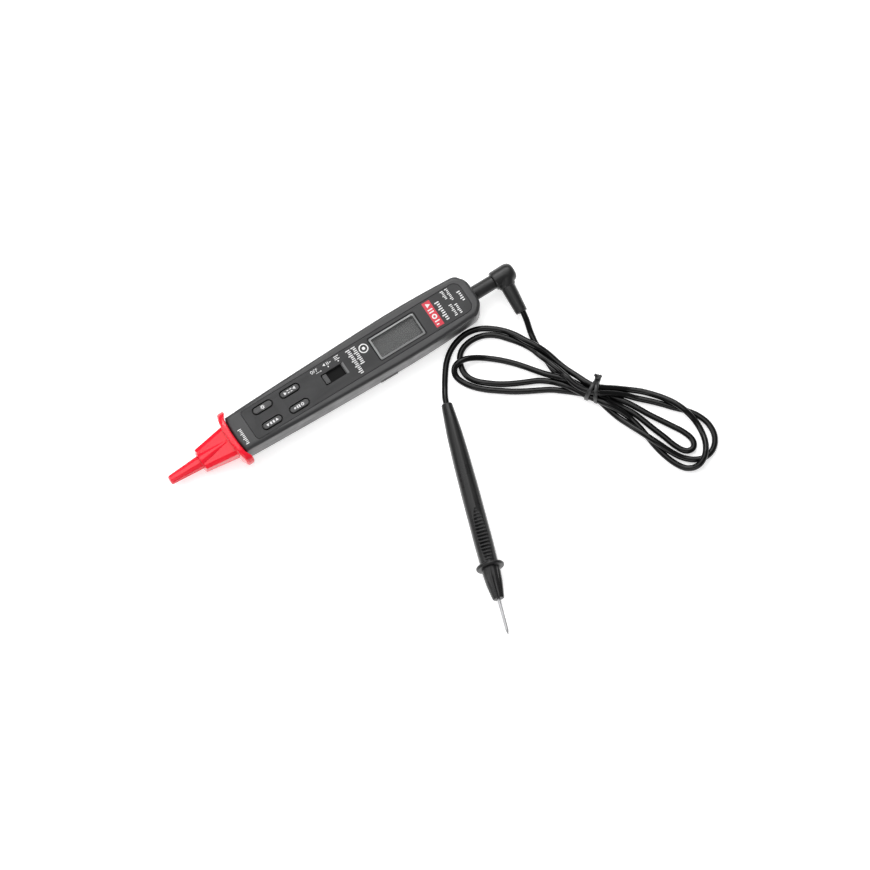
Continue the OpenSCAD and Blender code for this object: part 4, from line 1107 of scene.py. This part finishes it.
def tick_rows():
    """Rows of ticks, long and short in turn, where the face carries print."""
    rows = [
        (21.1, 24.0, 7.9, -7.9, 14), (24.8, 27.6, 7.9, -3.0, 10), (81.0, 83.8, 4.9, -7.0, 9),
        (87.4, 89.3, 9.0, 4.0, 6), (90.4, 92.3, 9.0, 1.6, 8), (87.4, 89.3, -0.6, -7.6, 7), (90.4, 92.3, -2.0, -7.8, 6),
        (95.6, 97.8, 3.8, -2.0, 5), (-57.4, -55.2, 1.0, -8.6, 10),
    ]
    ticks = []
    for x0, x1, y0, y1, count in rows:
        pitch = (y0 - y1) / (count - 1)
        for k in range(count):
            y = y0 - pitch * k
            short = (x1 - x0) * (0.0 if k % 3 == 0 else 0.3)
            ticks.append((x0 + short, x1, y - pitch * 0.24, y + pitch * 0.24))
    return ticks


class PENMETER_OT_print(bpy.types.Operator):
    """Prints the red field, the switch's marks and the rows of ticks on the face"""

    bl_idname = "pen_meter.print"
    bl_label = "Face print"

    def execute(self, context):
        z = PANEL_TOP
        marks = [bar(*m, z) for m in OFF_STROKES + SWITCH_MARKS + tick_rows()]
        marks += [
            ring_mark(-2.05, 7.85, 1.05, 0.74, z, 0.74), mark(3.1, 5.86, 0.5, 3, z), mark(6.5, 8.0, 1.05, 3, z, -90),
            mark(8.15, 5.9, 0.42, 12, z), mark(14.9, 5.7, 0.42, 12, z), ring_mark(31.4, 4.2, 2.9, 2.25, z),
            mark(31.4, 4.2, 1.0, 20, z)]
        white = join("face_marks", marks)
        hand_over(white, "meter", "panel_grey", print_white())
        field = bar(FIELD_X0, FIELD_X1, -8.3, 8.9, z)
        field.data.materials.append(moulded(
            "print red", settings()[1].field_red, roughness=0.5, grain=3600, spread=0.05, bump=0.1, edges=0.0))
        z += 0.02
        on_field = [
            mark(76.95, 6.3, 1.7, 3, z, 90), bar(75.4, 78.5, 2.9, 3.7, z), bar(75.4, 78.5, 1.2, 2.0, z),
            ring_mark(76.95, -1.6, 1.6, 0.8, z), bar(75.4, 78.5, -5.1, -4.3, z), bar(75.4, 77.0, -7.1, -6.3, z),
        ]
        for piece in on_field:
            piece.data.materials.append(print_white())
        field = join("face_field", [field, *on_field])
        hand_over(field, "meter", "guard_red", None)
        return {"FINISHED"}


class PENMETER_OT_nose(bpy.types.Operator):
    """Shapes the red nose with its swept finger guard, and the faceted tip cap"""

    bl_idname = "pen_meter.nose"
    bl_label = "Nose guard and cap"

    def execute(self, context):
        guard_t = CASE_FRONT_X - 0.15 - GUARD_X
        half_h = CASE_T / 2 + 0.8
        put_down()
        bpy.ops.mesh.primitive_circle_add(
            vertices=96, radius=GUARD_W / 2 * MM, fill_type="NGON", location=at(GUARD_X, 0, half_h),
            rotation=(0, math.pi / 2, 0))
        guard = just_added("finger_guard")
        settle(guard)
        for v in guard.data.vertices:
            angle = math.atan2(v.co.z - half_h * MM, v.co.y)
            power = 2.7 if angle > 0 else 2.0
            full = (abs(math.cos(angle)) ** power + abs(math.sin(angle)) ** power) ** (-1 / power)
            v.co.y *= full * 0.99
            v.co.z = half_h * MM + (v.co.z - half_h * MM) * full * half_h / (GUARD_W / 2)
        edit(guard)
        bpy.ops.mesh.select_all(action="SELECT")
        bpy.ops.mesh.extrude_region_move(TRANSFORM_OT_translate={"value": (guard_t * MM, 0, 0)})
        bpy.ops.mesh.select_all(action="SELECT")
        bpy.ops.mesh.normals_make_consistent(inside=False)
        round_edges(guard, lambda e: sharp(e, 60), guard_t * 0.34 * MM, 5)
        # Cuts a millimetre apart let the flange sweep back; none of them meets its middle line
        edit(guard)
        for k in range(-17, 18):
            bpy.ops.mesh.select_all(action="SELECT")
            bpy.ops.mesh.bisect(plane_co=(0, k * MM + 0.00003, 0), plane_no=(0, 1, 0))
        put_down()
        for v in guard.data.vertices:
            if v.co.x < (GUARD_X + guard_t / 2) * MM and v.co.z < half_h * MM:
                v.co.x += 0.17 * (half_h * MM - v.co.z)
            wing = held((abs(v.co.y) / MM - WING_FROM_Y) / WING_W)
            flare = FLARE_FRONT if v.co.x < (GUARD_X + guard_t / 2) * MM else FLARE_BACK
            v.co.x += (GUARD_SWEEP * (2 * v.co.y / (GUARD_W * MM)) ** 2 + flare * wing * wing * (3 - 2 * wing)) * MM

        # The body is a tapered bar of flat facets between two outlines; the bores are cut into it below
        rings = []
        for x, wide, low, wall_low, wall_top, crown in (
                (NOSE_FRONT_X, NOSE_FRONT_W / 2 + 0.25, NOSE_FRONT_LOW, 5.6, 11.4, 12.9),
                (GUARD_X + 2.6, NOSE_REAR_W / 2 + 0.6, 1.25, 5.8, 14.15, 16.8)):
            side = [(wide - 3.2, low), (wide - 1.0, low + (wall_low - low) * 0.4), (wide, wall_low),
                    (wide, wall_top), (wide - 2.2, wall_top + 1.25), (1.2, crown)]
            rings.append([at(x, y, z) for y, z in side] + [at(x, -y, z) for y, z in side[::-1]])
        body = skin("body", rings)
        round_edges(body, lambda e: lengthwise(e, 10) and sharp(e, 18), 0.3 * MM, 3, clamp=True)
        round_edges(body, lambda e: all(abs(v.co.x - NOSE_FRONT_X * MM) < 1e-6 for v in e.verts), 0.3 * MM, 3,
                    clamp=True)
        cut(guard, body, "UNION")
        ridge = turned(
            "ridge",
            [(NOSE_FRONT_X - 0.7, 4.6), (NOSE_FRONT_X - 0.6, 4.95), (NOSE_FRONT_X - 0.3, 5.15), (GUARD_X - 0.4, 0.8)],
            40, 9.0)
        shift(ridge, lambda v: v.co.x > (GUARD_X - 4) * MM, 0, 0, 6.7)
        cut(guard, ridge, "UNION")
        spigot = box("spigot", GUARD_X + 1, CASE_FRONT_X + 8, -8.5, 8.5, 3.4, 15.4)
        cut(guard, spigot, "UNION")
        bores = (
            (NOSE_FRONT_X - 1, NOSE_FRONT_X + 3.2, 4.5), (NOSE_FRONT_X - 1, NOSE_FRONT_X + 6, 1.1),
            (NOSE_FRONT_X + 4.5, CASE_FRONT_X + 9, 2.05))
        for x0, x1, r in bores:
            cut(guard, turned("bore", [(x0, r), (x1, r)], 40, PIN_Z))
        smooth(guard, 24)
        hand_over(guard, "meter", "guard_red", red_plastic(), "nose_guard")

        cap = turned(
            "tip_cover",
            [(TIP_X, 1.9), (TIP_X + 0.18, 2.35), (TIP_X + 0.55, 2.75), (TIP_X + 1.1, 3.0), (NOSE_FRONT_X - 0.5, 4.4),
             (NOSE_FRONT_X + 3, 4.4)], 10, PIN_Z)
        round_edges(cap, lambda e: lengthwise(e, 3), 0.3 * MM, 3)
        cut(cap, turned("bore", [(TIP_X + 2, 1.2), (NOSE_FRONT_X + 5, 1.2)], 32, PIN_Z))
        cut(cap, turned("bore", [(NOSE_FRONT_X - 3, 2.9), (NOSE_FRONT_X + 5, 2.9)], 32, PIN_Z))
        smooth(cap, 22)
        hand_over(cap, "tip_cap", "guard_red", red_plastic(), "tip_cap")
        return {"FINISHED"}


class PENMETER_OT_plug(bpy.types.Operator):
    """Shapes the plug's sleeve and its elbow, whose skirt runs into the boot"""

    bl_idname = "pen_meter.plug"
    bl_label = "Plug"

    def execute(self, context):
        sleeve = turned(
            "plug_sleeve_moulding",
            [(92.0, 4.1), (92.3, 4.4), (106.3, 4.4), (SLEEVE_X1 - 0.35, 4.36), (SLEEVE_X1, 4.0)], 56, JACK_Z)
        cut(sleeve, turned("bore", [(91, 2.9), (112, 2.9)], 40, JACK_Z))
        smooth(sleeve, 38)
        hand_over(sleeve, "lead", "plug_black", plug_plastic(), "plug_sleeve")

        x = SLEEVE_X1 + 0.05
        elbow = turned(
            "plug_elbow_moulding",
            [(x, 3.2), (x, 5.25), (x + 0.35, 5.68), (x + 0.9, 5.82), (x + 9.2, 6.05), (x + 10.9, 5.86),
             (x + 12.2, 5.4), (x + 13.2, 4.6), (x + 13.8, 3.5), (x + 14.05, 2.3), (x + 14.1, 1.0)], 56, JACK_Z)

        def down_boot(piece):
            """Moves a piece that was modelled along +X from the origin onto the boot's own axis."""
            piece.matrix_world = (
                Matrix.Translation(at(BOOT_X + 0.8, 0, JACK_Z))
                @ Matrix.Rotation(math.radians(-94), 4, "Z") @ Matrix.Rotation(math.radians(10), 4, "Y"))
            settle(piece)
            return piece

        skirt = turned("skirt", [(0.3, 5.6), (2.2, 5.6), (5.4, 5.25), (6.8, 4.9), (7.1, 4.55)], 48)
        edit(skirt)
        choose(skirt, "VERT", lambda v: v.co.x < 2.5 * MM)
        bpy.ops.transform.resize(value=(1, 1.2, 1), center_override=(0, 0, 0))
        bpy.ops.transform.translate(value=(0, 1.1 * MM, 0))
        put_down()
        cut(elbow, down_boot(skirt), "UNION")
        cut(elbow, down_boot(turned("hollow", [(2.4, 4.4), (12, 4.4)], 48)))
        cut(elbow, turned("bore", [(x - 1, 2.0), (x + 4.1, 2.0)], 32, JACK_Z))
        smooth(elbow, 38)
        hand_over(elbow, "lead", "plug_black", plug_plastic(), "plug_elbow")

        boot = turned(
            "plug_boot_moulding",
            [(3.0, 4.3), (7.0, 4.32), (12.0, 4.15), (18.0, 3.88), (23.4, 3.62), (23.85, 3.5), (24.05, 3.2),
             (24.05, 2.0)], 56)
        cut(boot, turned("bore", [(2, 1.84), (26, 1.84)], 32))
        down_boot(boot)
        smooth(boot, 38)
        hand_over(boot, "lead", "plug_black", plug_plastic(), "plug_boot")
        return {"FINISHED"}


class PENMETER_OT_probe(bpy.types.Operator):
    """Shapes the probe's facetted handle, with its leaf-shaped ribbed grip, its ring and its fluted cone"""

    bl_idname = "pen_meter.probe"
    bl_label = "Probe"

    def execute(self, context):
        handle = turned(
            "handle_moulding",
            [(0, 2.9), (0.5, 3.4), (10, 4.15), (20, 4.85), (40, 5.45), (60, 5.65), (92, 5.72), (102.8, 5.45)], 12)
        round_edges(handle, lambda e: lengthwise(e, 0.4), 0.75 * MM, 3)
        bpy.ops.mesh.primitive_uv_sphere_add(segments=48, ring_count=24, radius=MM, location=(0.086, 0, 0.0061))
        leaf = just_added("leaf")
        leaf.scale = (18.3, 3.6, 2.4)
        settle(leaf)
        cut(handle, leaf)
        ribs = []
        for k in range(15):
            x = HANDLE_L - 3.6 - 2.2 * k
            reach = 3.35 * math.sqrt(max(0.05, 1 - ((x - 86) / 18.3) ** 2))
            ribs.append(cylinder("rib", 0.55, 2 * reach, (x, 0, 4.75), 16, rotation=(math.pi / 2, 0, 0)))
        ring = turned(
            "ring",
            [(102.8, 5.2), (102.8, 7.5), (103.05, 8.05), (103.5, 8.35), (104, 8.4), (104.5, 8.35), (104.95, 8.05),
             (105.2, 7.5), (105.2, 5.2)], 56)
        end = HANDLE_L + CONE_L
        cone = turned(
            "cone", [(105.0, 5.5), (109, 5.35), (114.5, 4.92), (120, 4.1), (end - 0.5, 3.45), (end, 3.0)], 64)
        edit(cone)
        for x, reach in ((109, 0.93), (114.5, 0.88), (120, 0.86), (end - 0.5, 0.85), (end, 0.86)):
            choose(cone, "VERT", lambda v: abs(v.co.x - x * MM) < 1e-5 and flute(v) == 0)
            bpy.ops.transform.resize(value=(1, reach, reach), center_override=at(x, 0, 0))
            choose(cone, "VERT", lambda v: abs(v.co.x - x * MM) < 1e-5 and flute(v) in (1, 7))
            bpy.ops.transform.resize(value=(1, (1 + reach) / 2, (1 + reach) / 2), center_override=at(x, 0, 0))
        put_down()
        cut(cone, turned("bore", [(end - 3, 1.05), (end + 1, 1.05)], 24))
        cut(handle, turned("bore", [(-1, 2.1), (12, 2.1)], 32))
        whole = join("probe_handle_moulding", [handle, ring, cone, *ribs])
        to_probe(whole)
        smooth(whole, 30)
        hand_over(whole, "lead", "plug_black", handle_plastic(), "probe_handle")
        paint("probe_needle", metal("needle steel", (0.5, 0.5, 0.51), 0.46))
        return {"FINISHED"}


def flute(v):
    """Which of the eight places between two flutes' middles a point on the cone is at."""
    return round(math.degrees(math.atan2(v.co.z, v.co.y)) / 5.625) % 8


def paint(node, material):
    """Gives a node that keeps its own mesh a finished material."""
    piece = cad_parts[node]
    if piece.material_slots:
        for s in piece.material_slots:
            s.material = material
    else:
        piece.data.materials.append(material)


class PENMETER_OT_inside(bpy.types.Operator):
    """Gives the pieces inside the meter and the lead their materials"""

    bl_idname = "pen_meter.inside"
    bl_label = "Inside"

    def execute(self, context):
        steel = metal("plated steel", (0.62, 0.62, 0.63), 0.28)
        brass = metal("contact brass", (0.78, 0.58, 0.26), 0.25)
        board = moulded("board green", (0.02, 0.12, 0.05), roughness=0.35, grain=900, spread=0.2, bump=0.15)
        black = black_plastic()
        finishes = {
            "contact_strips": moulded("strip rubber", (0.55, 0.42, 0.38), roughness=0.7, grain=2500, spread=0.25),
            "main_board": board, "meter_chip": black,
            "board_parts": moulded("component tan", (0.45, 0.28, 0.13), roughness=0.4, grain=2000, spread=0.15),
            "tact_switches": steel, "switch_base": black, "buzzer": black,
            "cell_1": steel, "cell_2": steel, "battery_springs": steel, "battery_plates": steel,
            "door_screw": steel, "case_screws": steel,
            "battery_door": case_plastic(), "probe_pin": brass,
            "pin_wire": moulded("wire red", (0.5, 0.02, 0.015), roughness=0.4, grain=2500),
            "jack_insulator": black, "jack_barrel": brass, "jack_wire": lead_jacket(), "knob_wipers": brass,
            "plug_pin": brass, "probe_wire": lead_jacket(), "needle_crimp": brass,
        }
        for node, material in finishes.items():
            paint(node, material)
        return {"FINISHED"}


class PENMETER_PT_panel(bpy.types.Panel):
    bl_label = "Pen Meter"
    bl_idname = "PENMETER_PT_panel"
    bl_space_type = "VIEW_3D"
    bl_region_type = "UI"
    bl_category = "Pen Meter"

    def draw(self, context):
        layout = self.layout
        for group in settings():
            frame_box = layout.box()
            for name in group.__annotations__:
                frame_box.prop(group, name)
        for op in STEPS:
            layout.operator(op.bl_idname)


STEPS = (
    PENMETER_OT_stage, PENMETER_OT_lead, PENMETER_OT_tie, PENMETER_OT_case, PENMETER_OT_panel, PENMETER_OT_display,
    PENMETER_OT_keys, PENMETER_OT_switch, PENMETER_OT_print, PENMETER_OT_nose, PENMETER_OT_plug, PENMETER_OT_probe,
    PENMETER_OT_inside,
)
GROUPS = (StageSettings, CaseSettings, LeadSettings)


def register():
    for c in (*GROUPS, *STEPS, PENMETER_PT_panel):
        bpy.utils.register_class(c)
    bpy.types.Scene.pen_meter_stage = PointerProperty(type=StageSettings)
    bpy.types.Scene.pen_meter_case = PointerProperty(type=CaseSettings)
    bpy.types.Scene.pen_meter_lead = PointerProperty(type=LeadSettings)


def unregister():
    del bpy.types.Scene.pen_meter_lead
    del bpy.types.Scene.pen_meter_case
    del bpy.types.Scene.pen_meter_stage
    for c in reversed((*GROUPS, *STEPS, PENMETER_PT_panel)):
        bpy.utils.unregister_class(c)


def main():
    register()
    for op in STEPS:
        family, name = op.bl_idname.split(".")
        getattr(getattr(bpy.ops, family), name)()
    put_down()


if __name__ == "__main__":
    main()
